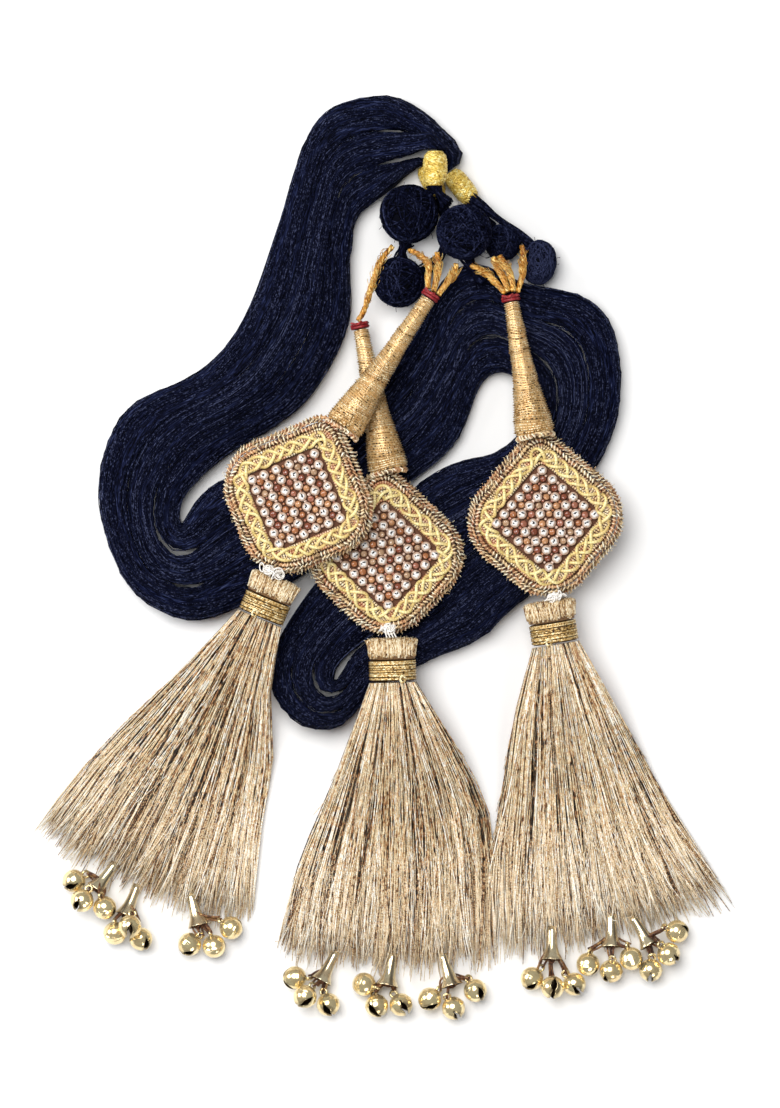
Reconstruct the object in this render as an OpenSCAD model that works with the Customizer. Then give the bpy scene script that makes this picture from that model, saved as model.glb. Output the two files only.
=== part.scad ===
/* [Medallions] */
// Side of a padded medallion, over its outer edge cord
medallion_side = 42.4; // [41:0.2:43]
// Radius of the medallion's rounded corners
medallion_corner = 15; // [14:0.5:16]
// Radius of the tighter corner that the stem grips
stem_corner = 8; // [7:0.5:10]
// Height of the pad at its crown
pad_height = 5; // [4.6:0.1:5.2]
// Radius of the shallow dome of the pad's face
dome_radius = 200; // [160:10:300]
// Thickness of the plaited band that frames the stones
braid_height = 1.5; // [1.2:0.1:1.8]

/* [Stones] */
// Diameter of a crystal at its girdle
stone_d = 3.1; // [2.8:0.05:3.2]
// Spacing of the crystals along the side with six
stone_pitch_six = 4.1; // [3.9:0.05:4.2]
// Spacing of the crystals along the side with seven
stone_pitch_seven = 3.45; // [3.35:0.05:3.5]

/* [Tassels] */
// Width of a tassel's looped cap
cap_width = 15.2; // [14:0.2:15.6]
// Thickness of a tassel's looped cap
cap_thick = 9.4; // [8.6:0.2:9.6]
// Length of the cap along the tassel
cap_length = 6.4; // [6:0.2:6.6]
// Length of the wire wrap under the cap
wrap_length = 6.2; // [5.6:0.2:6.4]
// Length of the skirt of threads
skirt_length = 86; // [82:1:87]
// Thickness of the skirt where it lies on the floor
skirt_floor_thick = 3.2; // [2.6:0.2:4]
// Locks across one skirt
lock_count = 11; // [9:2:11]

/* [Bells] */
// Diameter of a round bell
bell_d = 7; // [6.6:0.1:7.1]
// Thickness of a bell's sheet metal
bell_wall = 0.45; // [0.35:0.05:0.6]
// Length of the flared cap that a bunch of bells hangs from
horn_length = 10; // [9.5:0.5:11]
// Radius of the flared cap at its mouth
horn_mouth_r = 3.5; // [3.2:0.1:3.5]

/* [Cords and skeins] */
// Radius of a twisted gold cord
cord_r = 0.8; // [0.6:0.05:0.85]
// Clear space between neighbouring skeins
skein_gap = 0.3; // [0.2:0.05:0.5]

/* [Hidden] */
pendants = ["left", "middle", "right"];
skeins = ["inner", "centre", "outer"];
places = ["left", "middle", "right"];

fine = 64;
dome_fine = 256;
seat_gap = 0.3;

// Columns of a skein row: one edge x y, other edge x y, underside z, height.
// The rows follow the three skeins from the collars round the loops to the plaiting end.
skein_route = [
    [-0.5, 108, 2.5, 138.5, 0, 8.5],
    [-9, 103, -17.5, 134, 0, 9],
    [-9.5, 97, -25, 120.5, 0, 9.5],
    [-11, 88, -30, 103, 0, 9.5],
    [-11, 70, -40, 74, 0, 9.5],
    [-22.5, 48, -53.5, 56, 0, 9.5],
    [-36.5, 37, -66.5, 50, 0, 9.5],
    [-47.5, 31, -78.5, 43, 0, 10],
    [-58.5, 21, -85, 26, 0, 10.5],
    [-62, 15.5, -85, 13, 0, 11],
    [-62, 8.5, -77.5, -8.5, 0, 11],
    [-60.5, 8, -69, -15, 0, 11],
    [-59.5, 8.5, -58, -20, 0, 11],
    [-59, 12.5, -48, -16.5, 0, 11.4],
    [-51, 21.5, -32, -10, 0, 11.7],
    [-35.5, 27, -18.5, -0.5, 0, 8.6],
    [-17, 35.5, -3.5, 15, 0, 8],
    [-3, 50.5, 20, 32.5, 0, 7],
    [11, 68, 26.5, 48, 0, 7.6],
    [17.5, 83, 29.5, 54.5, 0, 8.2],
    [28.5, 88.5, 34.5, 57, 0, 8.6],
    [41, 81, 39.5, 54.5, 0, 9],
    [57.5, 79, 43.5, 50, 0, 9.2],
    [65.5, 74, 44, 46, 0, 9.5],
    [70, 63.5, 44, 42.5, 0, 9.5],
    [70, 41.5, 41.5, 36.5, 0, 9.8],
    [60, 22, 34, 30.5, 0, 9.8],
    [51.5, 14.5, 29, 29, 0, 9.5],
    [41.5, 10, 23, 28.5, 0, 8.5],
    [24.5, 0.5, 8.5, 19.5, 0, 8.4],
    [8, -14, -8.5, 2.5, 0, 8.4],
    [-1, -21, -17, -5, 0, 8.4],
    [-9.5, -27.5, -25, -15.5, 0, 10],
    [-16, -34, -35, -33.5, 0, 11.5],
    [-16, -38, -29.5, -47.5, 0, 12],
    [-15, -39, -23, -51.5, 0, 12],
    [-14, -39, -15, -52.5, 0, 12],
    [-13, -38, -9, -48.5, 0, 12],
    [-12.5, -36, -5.5, -41.5, 0, 9.8],
    [-11, -31.5, 0, -37, 0, 7.6],
    [0, -22, 14, -31, 0, 7.2],
    [14.5, -9.8, 30, -24, 0, 8.6],
    [21.5, -3.6, 36.5, -17, 0, 9.4],
    [36, 5.8, 48.5, -7, 0, 9.8],
    [43, 8, 52.5, -2, 0, 9]];
// The same columns for each skein's own way from its collar to the first shared row.
skein_leads = [
    [[8.9, 116.2, 14.3, 119.1, 0, 7],
     [4.5, 112.8, 7.5, 119.3, 0, 8]],
    [[11.8, 121.8, 18.8, 121.8, 9.3, 7.4],
     [11.3, 121.7, 15, 126.5, 7.6, 7.5],
     [9.5, 121.3, 11, 126, 4.5, 8],
     [5.5, 120.3, 7, 126, 1, 8.5]],
    [[18, 114.8, 22.2, 117.8, 0, 6.8],
     [18.7, 118.5, 23, 120.5, 0, 7],
     [17.6, 121.8, 20.8, 125, 0, 7],
     [14.6, 125.2, 17, 129.5, 0, 7],
     [11, 127, 12.5, 132.5, 0, 7.5],
     [6.5, 127.8, 8, 136, 0, 8]]];
skein_sides = 10;
skein_steps = 2;

// Columns of a thread ball: centre x y z, length, diameter, turn of its long axis.
balls = [
    [7.5, 102.6, 9, 18, 18, 0],
    [24, 96.9, 13.8, 17, 17, 0],
    [35.7, 94.2, 5.7, 11.4, 11.4, 0],
    [46.5, 88.2, 5.5, 14, 11, 84],
    [4.5, 82.2, 7.8, 15.6, 15.6, 0]];
// Columns of a collar: centre x y z, length, diameter, turn of its axis.
collars = [
    [15.3, 116, 13, 10.8, 7.5, -90],
    [23.3, 111, 3.6, 11.5, 6.8, -52],
    [14.3, 112.5, 3.3, 11, 6.2, -62]];

// Columns of a medallion: centre x y, underside z, turn of its hanging corner from +Y,
// tilt, direction in its own frame that the tilt raises, side that carries six stones.
medallions = [
    [-25.2, 17.4, 15.9, -22.5, 10, 45, 1],
    [0.6, 0, 9.1, 2, 0, 0, 1],
    [48.3, 11.1, 10.1, 4.8, 0, 0, -1]];
half_side = medallion_side / 2;
edge_cord_r = 1.1;
face_cord_r = 0.95;
edge_cord_half = half_side - edge_cord_r;
pad_half = edge_cord_half - edge_cord_r - 0.2;
face_cord_half = pad_half - 0.75;
braid_outer = face_cord_half - face_cord_r - 0.2;
braid_inner = 12.3;
braid_inner_corner = 3;
lay_gap = 0.15;
edge_cord_z = 2.4;
face_cord_z = pad_height - 0.8 + lay_gap + face_cord_r;
stone_count_six = 6;
stone_count_seven = 7;
// Columns of a stone ring: share of the girdle radius, height above the seat.
stone_rings = [[0.84, 0], [1, 0.7], [0.56, 1.6]];
stone_sides = 8;

// Columns of a stem: tip x y z, base x y z.
stems = [
    [[13.2, 76.8, 15.9], [-12.5, 37.9, 21.3]],
    [[-7, 67.8, 8.8], [1.4, 25.2, 14.3]],
    [[38.1, 75.9, 12.4], [45.2, 36, 16.8]]];
// Columns of the stem's outline: share of its length, radius.
stem_outline = [[0, 2.4], [0.1, 2.6], [0.25, 3], [0.4, 3.35], [0.5, 3.65], [0.62, 4.2],
                [0.75, 5.1], [0.88, 5.9], [0.97, 6.3], [1, 5.9]];
tie_r = 2.9;
tie_length = 1.8;
tie_outline = [[0, 0.86], [0.15, 1], [0.85, 1], [1, 0.86]];

// Columns of a tassel: top of its cap x y z, turn of its axis from +X, pitch down.
tassels = [
    [[-31.8, -6.3, 17.2], -113, 3],
    [[2.3, -24.4, 12.9], -88.5, 2],
    [[49.3, -13.2, 12.4], -81, 3]];
// Rows down a skirt: x y of its first edge thread, of its middle thread and of its last edge thread.
skirt_routes = [
    [[-43, -14.9, -36.6, -17.6, -30.2, -20.3],
     [-57, -30, -45, -38, -34, -41],
     [-71.5, -45, -53.5, -58.5, -34.2, -62],
     [-87, -61.5, -62, -79.5, -38, -83.5],
     [-101.5, -81, -70.5, -99, -40.5, -106]],
    [[-4.2, -37.8, 2.6, -37.6, 9.5, -37.4],
     [-11.5, -58, 3, -59, 20.6, -56],
     [-19, -78.5, 3, -80.5, 29.5, -75.5],
     [-26.5, -98.5, 2.4, -102, 31.3, -97],
     [-30.5, -118, 1.6, -121.5, 31.6, -119]],
    [[44.5, -27.2, 51.3, -26.1, 58.1, -25],
     [38.9, -48.5, 54.5, -48, 68.5, -43.5],
     [36, -70.5, 57.7, -70.3, 78.5, -63],
     [32.8, -92, 61, -92.4, 88.5, -82],
     [32.6, -117, 64, -112.5, 101, -102]]];
skirt_route_length = 88;
skirt_steps = 2;
skirt_rows = 8;
skirt_ramp = 0.62;
lock_ridge = 0.5;
lock_notch = 3;
lock_unevenness = 1.5;
horn_seat_half = 4.2;

// Columns of a bunch: mouth x y of its horn, turn of the horn's axis from +X, then for
// each bell its centre x y z, the turn of its slit's direction, how far that tips up, and its roll.
bunches = [
    [[-86.7, -100.3, -127, [-93.2, -97.7, 3.6, -150, 10, 70], [-83.9, -105.6, 6, -75, -25, 40],
      [-90.6, -103.4, 7.3, -120, 0, 105]],
     [-77.7, -108.1, -111, [-80.9, -113.4, 3.6, -90, -30, 15], [-73.1, -115.1, 3.6, -75, 0, 60],
      [-76.2, -111.1, 8.8, -100, 20, 85]],
     [-55.7, -111.2, -75, [-58.4, -116.7, 3.7, -140, 0, 50], [-46, -111.8, 3.6, -35, -25, 20],
      [-51.1, -117.3, 3.6, -75, -20, 10]]],
    [[-18.9, -127.8, -117, [-26.8, -126.8, 3.6, 175, 15, 15], [-16.8, -134.8, 3.6, -70, 15, 110],
      [-23.7, -132.2, 7.3, -125, 25, 60]],
     [1, -129.2, -101, [-6, -128.7, 4, 165, -25, 10], [5.1, -134.9, 3.6, -55, 20, 80],
      [-2.2, -135.2, 3.6, -75, 30, 125]],
     [20.5, -129.2, -73, [13.8, -133.2, 3.6, -135, 20, 45], [27.4, -130.6, 3.6, -60, 10, 65],
      [20.9, -135.9, 3.7, -60, -15, 95]]],
    [[50.4, -121.4, -91, [44.5, -127, 3.6, -130, 0, 60], [57.2, -128.7, 3.6, -50, 0, 100],
      [50.6, -129.5, 6.6, -90, 55, 80]],
     [68.4, -117.5, -90, [61.3, -122.7, 3.6, -100, -20, 35], [74.2, -120.9, 5.1, -75, -10, 20],
      [68.3, -124.8, 3.6, -95, -25, 120]],
     [79.9, -117, -59, [88.1, -112.9, 3.6, -20, -20, 50], [80.2, -124.5, 3.6, -95, -15, 90],
      [85.5, -119.6, 4.8, -50, -25, 70]]]];
// Columns of the horn's outline: share of its length, share of its mouth radius.
horn_outline = [[0, 0.4], [0.3, 0.42], [0.5, 0.47], [0.68, 0.56], [0.82, 0.72], [0.93, 0.9], [1, 1]];
// The horn rests on its mouth's rim and rises from its seat by this angle.
horn_rise = 9;
horn_lift = 0.1;
horn_wall = 0.4;
horn_end = 0.6;
slit_width = 0.8;
// Shares of the bell's diameter: how deep the slit cuts, how far its holes lie aside and ahead.
slit_depth = 0.31;
hole_aside = 0.36;
hole_ahead = 0.33;
slit_hole_r = 1.05;
eyelet_r = 1;
eyelet_wire_r = 0.4;

// Points of the gold cords, from each stem's tie up to what they come from.
cord_routes = [
    [[[13.2, 80, 15.9], [13.2, 83, 16], [13.3, 87, 14.4], [10.8, 89.9, 11.6], [7.6, 91.7, 8.8]],
     [[14.8, 79, 15.6], [15.7, 82.7, 15.4], [16.3, 87, 14.2], [15.8, 90.8, 13.4]],
     [[16.3, 78.1, 15.4], [18.6, 81.4, 15], [21, 84.8, 14.2], [21.6, 87.4, 13.8]]],
    [[[-7.8, 70.6, 8.8], [-5.8, 74, 9.6], [-3.7, 80.7, 12], [-1.8, 86.6, 12.4], [0.2, 90.2, 10.6],
      [2.6, 92.8, 9.2]]],
    [[[36.3, 78.6, 12.2], [32.4, 83.1, 11.6], [29.1, 85.5, 11], [26, 87.1, 10.8]],
     [[37.3, 79.2, 12.9], [34.6, 86, 12.6], [32.6, 89.4, 13]],
     [[38.7, 79.2, 12.9], [38, 83.8, 12.6], [35.9, 87.6, 12.8], [34.6, 89.9, 12.7]],
     [[39.9, 79.1, 12.2], [41.4, 84, 10.6], [41.6, 88, 10.8], [41.4, 93, 9]]]];
cord_sides = 8;
cord_steps = 2;

function along(row, share) = row[0] + (row[1] - row[0]) * share;
function unit(v) = v / norm(v);
function flat(lists) = [for (l = lists) each l];

// A smooth step between the second and third of four rows.
function smooth(a, b, c, d, t) =
    0.5 * (2 * b + (c - a) * t + (2 * a - 5 * b + 4 * c - d) * t ^ 2
           + (3 * b - a - 3 * c + d) * t ^ 3);
function row_at(rows, i) = rows[max(0, min(len(rows) - 1, i))];
function smoothed(rows, steps) = concat(
    [for (i = [0:len(rows) - 2]) for (k = [0:steps - 1])
        smooth(row_at(rows, i - 1), row_at(rows, i), row_at(rows, i + 1), row_at(rows, i + 2),
               k / steps)],
    [rows[len(rows) - 1]]);

// Faces between rings of the same number of points.
function side_faces(rings, sides, first) = flat(
    [for (i = [0:rings - 2]) for (j = [0:sides - 1])
        let (a = first + i * sides + j,
             b = first + i * sides + (j + 1) % sides,
             c = a + sides,
             d = b + sides)
        [[a, c, b], [b, c, d]]]);
// The same, closed by a flat face at both ends.
function ring_faces(rings, sides, first) = concat(
    [[for (j = [0:sides - 1]) first + j]],
    side_faces(rings, sides, first),
    [[for (j = [0:sides - 1]) first + rings * sides - 1 - j]]);
// An end that isn't flat, closed by triangles from one edge of the ring to the other.
function end_faces(sides, first, is_far) = flat(
    [for (j = [0:sides / 2 - 2])
        let (a = first + j,
             b = a + 1,
             c = first + sides - 2 - j,
             d = c + 1)
        is_far ? [[a, c, b], [a, d, c]] : [[a, b, c], [a, c, d]]]);
module loft(rings) {
    polyhedron(points = flat(rings), faces = ring_faces(len(rings), len(rings[0]), 0));
}
// Several closed lofts with the same number of rings and sides.
module lofts(solids) {
    rings = len(solids[0]);
    sides = len(solids[0][0]);
    polyhedron(points = flat([for (s = solids) flat(s)]),
               faces = flat([for (i = [0:len(solids) - 1])
                   ring_faces(rings, sides, i * rings * sides)]));
}

// A tube round a smooth line.
function tube_rings(points, r, sides) =
    [for (i = [0:len(points) - 1])
        let (before = points[max(0, i - 1)],
             after = points[min(len(points) - 1, i + 1)],
             run = unit(after - before),
             side = unit(cross(run, [0, 0, 1])),
             up = cross(side, run))
        [for (j = [0:sides - 1]) points[i] + r * (side * cos(360 * j / sides)
                                                  - up * sin(360 * j / sides))]];

// Ring of a skein: a flat-bottomed oval from one edge to the other.
function skein_ring(row) =
    let (middle = [row[0] + row[2], row[1] + row[3]] / 2,
         half = [row[2] - row[0], row[3] - row[1]] / 2,
         trimmed = half * (1 - skein_gap / 2 / norm(half)))
    [for (j = [0:skein_sides - 1])
        let (a = 360 * j / skein_sides,
             rise = 0.5 - 0.5 * sin(a) / sin(72))
        [middle.x + trimmed.x * cos(a), middle.y + trimmed.y * cos(a),
         max(0, row[4]) + row[5] * rise]];
// The share of a shared row that one skein takes.
function skein_share(row, k) =
    let (a = [row[0], row[1]],
         b = [row[2], row[3]],
         left = a + (b - a) * k / 3,
         right = a + (b - a) * (k + 1) / 3)
    [left.x, left.y, right.x, right.y, row[4], row[5]];
function skein_rows(k) = concat(skein_leads[k], [for (row = skein_route) skein_share(row, k)]);

module skein(k) {
    color("#15171f") loft([for (row = smoothed(skein_rows(k), skein_steps)) skein_ring(row)]);
}

// A solid of revolution along +Z from rows of share of length and share of radius.
module turned(rows, length, r) {
    rotate_extrude($fn = fine) polygon(concat(
        [[0, rows[0][0] * length]],
        [for (row = rows) [row[1] * r, row[0] * length]],
        [[0, rows[len(rows) - 1][0] * length]]));
}
function barrel(steps, power) =
    [for (i = [0:steps]) let (z = -1 + 2 * i / steps) [z, max(0.02, (1 - abs(z) ^ power) ^ (1 / power))]];
module point_along(from, to) {
    run = to - from;
    translate(from) rotate([0, acos(run.z / norm(run)), atan2(run.y, run.x)]) children();
}

module ball(k) {
    b = balls[k];
    color("#12141c") translate([b[0], b[1], b[2]])
        if (b[3] == b[4]) {
            sphere(d = b[3], $fn = fine);
        } else {
            rotate([0, 90, b[5]]) turned(barrel(18, 2), b[3] / 2, b[4] / 2);
        }
}

module collar(k) {
    c = collars[k];
    color("#d8b552") translate([c[0], c[1], c[2]]) rotate([0, 90, c[5]])
        turned(barrel(14, 5), c[3] / 2, c[4] / 2);
}

module cords(k) {
    color("#d68a2c") for (route = cord_routes[k])
        loft(tube_rings(smoothed(route, cord_steps), cord_r, cord_sides));
}

// The wound stem grips the medallion's corner, so its end has a slot for it.
module stem(k) {
    color("#cdae73") difference() {
        point_along(stems[k][0], stems[k][1])
            turned(stem_outline, norm(stems[k][1] - stems[k][0]), 1);
        on_medallion(k) translate([0, 0, -seat_gap])
            linear_extrude(face_cord_z + face_cord_r + 2 * seat_gap)
                rounded_square(half_side + seat_gap, corners_at(half_side + seat_gap));
    }
}

module stem_tie(k) {
    tip = stems[k][0];
    run = unit(stems[k][1] - tip);
    color("#8c1d22") point_along(tip - run * (tie_length + seat_gap), tip)
        turned(tie_outline, tie_length, tie_r);
}

// Places its children on a medallion, whose sides then run along X and Y.
module on_medallion(k) {
    m = medallions[k];
    translate([m[0], m[1], m[2]]) rotate([0, 0, m[3]])
        rotate(a = m[4], v = [sin(m[5]), -cos(m[5]), 0]) rotate([0, 0, 45]) children();
}
// Radius of a corner of the medallion's outline at a half width: the first one is the stem's.
function corner_at(half, i) = (i == 0 ? stem_corner : medallion_corner) - (half_side - half);
function corners_at(half) = [for (i = [0:3]) corner_at(half, i)];
module rounded_square(half, corners) {
    for (i = [0:3])
        rotate([0, 0, 90 * i]) {
            translate([-1, -1]) square([half + 1, half + 1 - corners[i]]);
            translate([-1, -1]) square([half + 1 - corners[i], half + 1]);
            translate([half - corners[i], half - corners[i]]) circle(r = corners[i], $fn = fine);
        }
}
// A round cord laid along the medallion's edge.
module edge_cord(half, r) {
    for (i = [0:3]) {
        corner = corner_at(half, i);
        before = half - corner_at(half, (i + 3) % 4);
        rotate([0, 0, 90 * i]) {
            translate([half - corner, half - corner, 0]) rotate_extrude(angle = 90, $fn = fine)
                translate([corner, 0]) circle(r = r, $fn = fine);
            translate([half, -before, 0]) rotate([-90, 0, 0])
                cylinder(r = r, h = before + half - corner, $fn = fine);
        }
    }
}
module dome(extra) {
    translate([0, 0, pad_height - dome_radius]) sphere(r = dome_radius + extra, $fn = dome_fine);
}
function dome_z(x, y) = pad_height - dome_radius + sqrt(dome_radius ^ 2 - x ^ 2 - y ^ 2);

module pad(k) {
    color("#a9743f") on_medallion(k) intersection() {
        linear_extrude(pad_height) rounded_square(pad_half, corners_at(pad_half));
        dome(0);
    }
}

module edge_cords(k) {
    color("#b98a63") on_medallion(k) {
        translate([0, 0, edge_cord_z]) edge_cord(edge_cord_half, edge_cord_r);
        translate([0, 0, face_cord_z]) edge_cord(face_cord_half, face_cord_r);
    }
}

module braid(k) {
    color("#ddcb6b") on_medallion(k) difference() {
        intersection() {
            linear_extrude(2 * pad_height) difference() {
                rounded_square(braid_outer, corners_at(braid_outer));
                rounded_square(braid_inner, [for (i = [0:3]) braid_inner_corner]);
            }
            dome(lay_gap + braid_height);
        }
        dome(lay_gap);
    }
}

module stones(k) {
    six_first = medallions[k][6] > 0;
    color("#eef2f4") on_medallion(k) lofts(
        [for (i = [0:stone_count_six - 1]) for (j = [0:stone_count_seven - 1])
            let (u = (i - (stone_count_six - 1) / 2) * stone_pitch_six,
                 v = (j - (stone_count_seven - 1) / 2) * stone_pitch_seven,
                 x = six_first ? u : v,
                 y = six_first ? v : u,
                 seat = dome_z(x, y) + lay_gap)
            [for (ring = stone_rings) [for (s = [0:stone_sides - 1])
                let (a = 360 * (s + 0.5) / stone_sides)
                [x + stone_d / 2 * ring[0] * cos(a), y + stone_d / 2 * ring[0] * sin(a),
                 seat + ring[1]]]]]);
}

module on_tassel(k) {
    t = tassels[k];
    translate(t[0]) rotate([0, 0, t[1]]) rotate([0, t[2], 0]) children();
}
// A bar along X with an oval section.
module oval_bar(length, width, thick) {
    rotate([90, 0, 90]) linear_extrude(length) {
        square([width - thick, thick], center = true);
        for (x = [-1, 1]) translate([x * (width - thick) / 2, 0]) circle(d = thick, $fn = fine);
    }
}
module tassel_cap(k) {
    color("#d3b987") on_tassel(k) intersection() {
        oval_bar(cap_length, cap_width, cap_thick);
        translate([cap_length, 0, 0]) sphere(r = cap_length * 1.45, $fn = fine);
    }
}
module tassel_wrap(k) {
    color("#c8862f") on_tassel(k) translate([cap_length + seat_gap, 0, 0])
        oval_bar(wrap_length, cap_width - 0.8, cap_thick - 0.6);
}

// A flat fan of locks that comes out of the wrap and settles on the floor.
function skirt_ramp_at(t) = 0.5 + 0.5 * cos(180 * min(1, t / skirt_ramp));
function across_row(row, a) =
    let (first = [row[0], row[1]],
         middle = [row[2], row[3]],
         last = [row[4], row[5]])
    middle + a / 2 * (last - first) + a ^ 2 / 2 * (first - 2 * middle + last);
// How far a lock runs, as a share of its route: up to a bell's horn where it meets one.
function lock_stretch(k, start, run, free) =
    let (heading = unit(run),
         meets = [for (b = bunches[k])
             let (axis = [cos(b[2]), sin(b[2])],
                  tail = [b[0], b[1]] - horn_length * axis,
                  reach = ((tail - start) * axis - seat_gap) / (heading * axis),
                  off = start + reach * heading - tail)
             if (abs(cross(off, axis)) < horn_seat_half) reach / norm(run)])
    len(meets) > 0 ? min(meets) : free;
function skirt_point(k, rows, column, row, is_top) =
    let (t = tassels[k],
         across = -1 + column / lock_count,
         from_top = cap_length + wrap_length + 3 * seat_gap,
         root = t[0] + from_top * [cos(t[1]) * cos(t[2]), sin(t[1]) * cos(t[2]), -sin(t[2])],
         seat = [root.x, root.y] - across_row(rows[0], 0),
         start = across_row(rows[0], across),
         is_ridge = column % 2,
         reach = skirt_length - (1 - is_ridge) * lock_notch + lock_unevenness * sin(column * 140),
         stretch = lock_stretch(k, seat + start, across_row(rows[skirt_rows], across) - start,
                                reach / skirt_route_length),
         plan = seat + start + (across_row(rows[row], across) - start) * stretch,
         ramp = skirt_ramp_at(row / skirt_rows),
         thick = along([skirt_floor_thick, cap_thick - 1.4], ramp)
                 * (0.45 + 0.55 * sqrt(1 - (0.95 * across) ^ 2)),
         middle = skirt_floor_thick / 2 + (root.z - skirt_floor_thick / 2) * ramp,
         low = max(0, middle - along([skirt_floor_thick, thick], ramp) / 2),
         high = low + thick + is_ridge * lock_ridge)
    [plan.x, plan.y, is_top ? high : low];
// One ring goes along the underside from edge to edge and back along the top.
function skirt_rings(k) =
    let (rows = smoothed(skirt_routes[k], skirt_steps))
    [for (row = [0:skirt_rows]) concat(
        [for (c = [0:2 * lock_count]) skirt_point(k, rows, c, row, false)],
        [for (c = [2 * lock_count:-1:0]) skirt_point(k, rows, c, row, true)])];
module tassel_skirt(k) {
    rings = skirt_rings(k);
    sides = len(rings[0]);
    color("#c9ab7c") polyhedron(points = flat(rings), faces = concat(
        end_faces(sides, 0, false),
        side_faces(len(rings), sides, 0),
        end_faces(sides, (len(rings) - 1) * sides, true)));
}

// A hollow metal horn along +X towards its mouth.
module bell_horn(k, q) {
    b = bunches[k][q];
    color("#d9ac4e") translate([b[0], b[1], horn_mouth_r + horn_lift]) rotate([0, -horn_rise, b[2]])
        translate([-horn_length, 0, 0]) rotate([0, 90, 0]) difference() {
            turned(horn_outline, horn_length, horn_mouth_r);
            translate([0, 0, horn_end]) turned(horn_outline, horn_length, horn_mouth_r - horn_wall);
        }
}

// A round bell along +X: its eyelet looks back, its slit ahead, with a round hole at both ends.
module bell() {
    hollow_r = bell_d / 2 - bell_wall;
    difference() {
        rotate([90, 90, 0]) sphere(d = bell_d, $fn = fine);
        rotate([90, 90, 0]) sphere(r = hollow_r, $fn = fine);
        translate([bell_d / 2, 0, 0])
            cube([2 * slit_depth * bell_d, 2 * hole_aside * bell_d, slit_width], center = true);
        for (y = [-1, 1])
            translate([hole_ahead * bell_d, y * hole_aside * bell_d, 0])
                sphere(r = slit_hole_r, $fn = fine);
    }
    translate([-bell_d / 2 - eyelet_r * 0.6, 0, 0]) rotate([90, 0, 0]) rotate_extrude($fn = fine)
        translate([eyelet_r, 0]) circle(r = eyelet_wire_r, $fn = 24);
}
module bells(k, q) {
    b = bunches[k][q];
    color("#d4a23c") for (i = [3:5])
        translate([b[i][0], b[i][1], b[i][2]]) rotate([b[i][5], -b[i][4], b[i][3]]) bell();
}

for (k = [0:2]) {
    skein(k);
    collar(k);
    cords(k);
    stem_tie(k);
    stem(k);
    pad(k);
    edge_cords(k);
    braid(k);
    stones(k);
    tassel_cap(k);
    tassel_wrap(k);
    tassel_skirt(k);
    for (q = [0:2]) {
        bell_horn(k, q);
        bells(k, q);
    }
}
for (i = [0:len(balls) - 1])
    ball(i);
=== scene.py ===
import math
import bpy
import numpy as np
from mathutils import Matrix


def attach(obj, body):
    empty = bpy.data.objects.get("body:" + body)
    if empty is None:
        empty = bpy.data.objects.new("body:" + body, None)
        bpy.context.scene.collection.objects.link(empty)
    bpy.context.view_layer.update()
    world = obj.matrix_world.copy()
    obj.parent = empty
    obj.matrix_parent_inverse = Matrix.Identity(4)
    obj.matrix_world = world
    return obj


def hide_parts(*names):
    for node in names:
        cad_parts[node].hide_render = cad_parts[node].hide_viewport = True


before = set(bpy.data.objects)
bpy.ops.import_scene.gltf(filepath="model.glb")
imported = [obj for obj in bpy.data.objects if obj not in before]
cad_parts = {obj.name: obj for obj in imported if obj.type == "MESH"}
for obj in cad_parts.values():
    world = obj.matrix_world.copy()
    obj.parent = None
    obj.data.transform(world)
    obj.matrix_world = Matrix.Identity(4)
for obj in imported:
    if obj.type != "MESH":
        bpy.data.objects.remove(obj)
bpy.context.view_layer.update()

scene = bpy.context.scene
print("frame loaded,", len(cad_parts), "nodes")

# Camera, light and floor.
view = {
    "centre": (0.0018, 0.0006),  # point of the floor in the middle of the picture
    "height": 2.0,               # far away, because the photograph has hardly any perspective
    "focusLevel": 0.008,         # height on the paranda where the scale is true
    "pictureHeight": 0.3324,     # floor that the picture shows from top to bottom
    "sensor": 36.0}
lamps = {                        # place, size, energy, colour
    "over": ((-0.25, 0.35, 1.1), 0.9, 14.5, (1.0, 0.99, 0.97)),
    "left": ((-0.95, 0.15, 0.5), 0.5, 5.0, (0.96, 0.98, 1.0)),
    "low": ((0.35, -0.9, 0.55), 0.5, 3.4, (1.0, 0.97, 0.93))}
room = {"colour": (0.93, 0.96, 1.0), "strength": 0.20}


def addCamera():
    data = bpy.data.cameras.new("camera")
    data.sensor_fit = "VERTICAL"
    data.sensor_height = view["sensor"]
    data.lens = view["sensor"] * view["height"] / view["pictureHeight"]
    data.clip_start, data.clip_end = 0.05, 20.0
    camera = bpy.data.objects.new("camera", data)
    camera.location = (*view["centre"], view["height"] + view["focusLevel"])
    scene.collection.objects.link(camera)
    scene.camera = camera


def addLamps():
    for name, (place, size, energy, colour) in lamps.items():
        data = bpy.data.lights.new("lamp " + name, "AREA")
        data.shape, data.size, data.energy, data.color = "DISK", size, energy, colour
        lamp = bpy.data.objects.new("lamp " + name, data)
        lamp.location = place
        away = np.array(place) / np.linalg.norm(place)
        lamp.rotation_euler = (math.acos(away[2]), 0, math.atan2(away[1], away[0]) + math.pi / 2)
        scene.collection.objects.link(lamp)
    world = bpy.data.worlds.new("room")
    world.use_nodes = True
    world.node_tree.nodes["Background"].inputs["Color"].default_value = (*room["colour"], 1)
    world.node_tree.nodes["Background"].inputs["Strength"].default_value = room["strength"]
    scene.world = world
    scene.view_settings.view_transform = "Standard"


# Shader groups and materials.

def newGroup(name, inputs, outputs):
    group = bpy.data.node_groups.new(name, "ShaderNodeTree")
    for direction, sockets in (("INPUT", inputs), ("OUTPUT", outputs)):
        for label, kind, value in sockets:
            socket = group.interface.new_socket(label, in_out=direction, socket_type="NodeSocket" + kind)
            if value is not None:
                socket.default_value = value
    return group, group.nodes.new("NodeGroupInput"), group.nodes.new("NodeGroupOutput")


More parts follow.
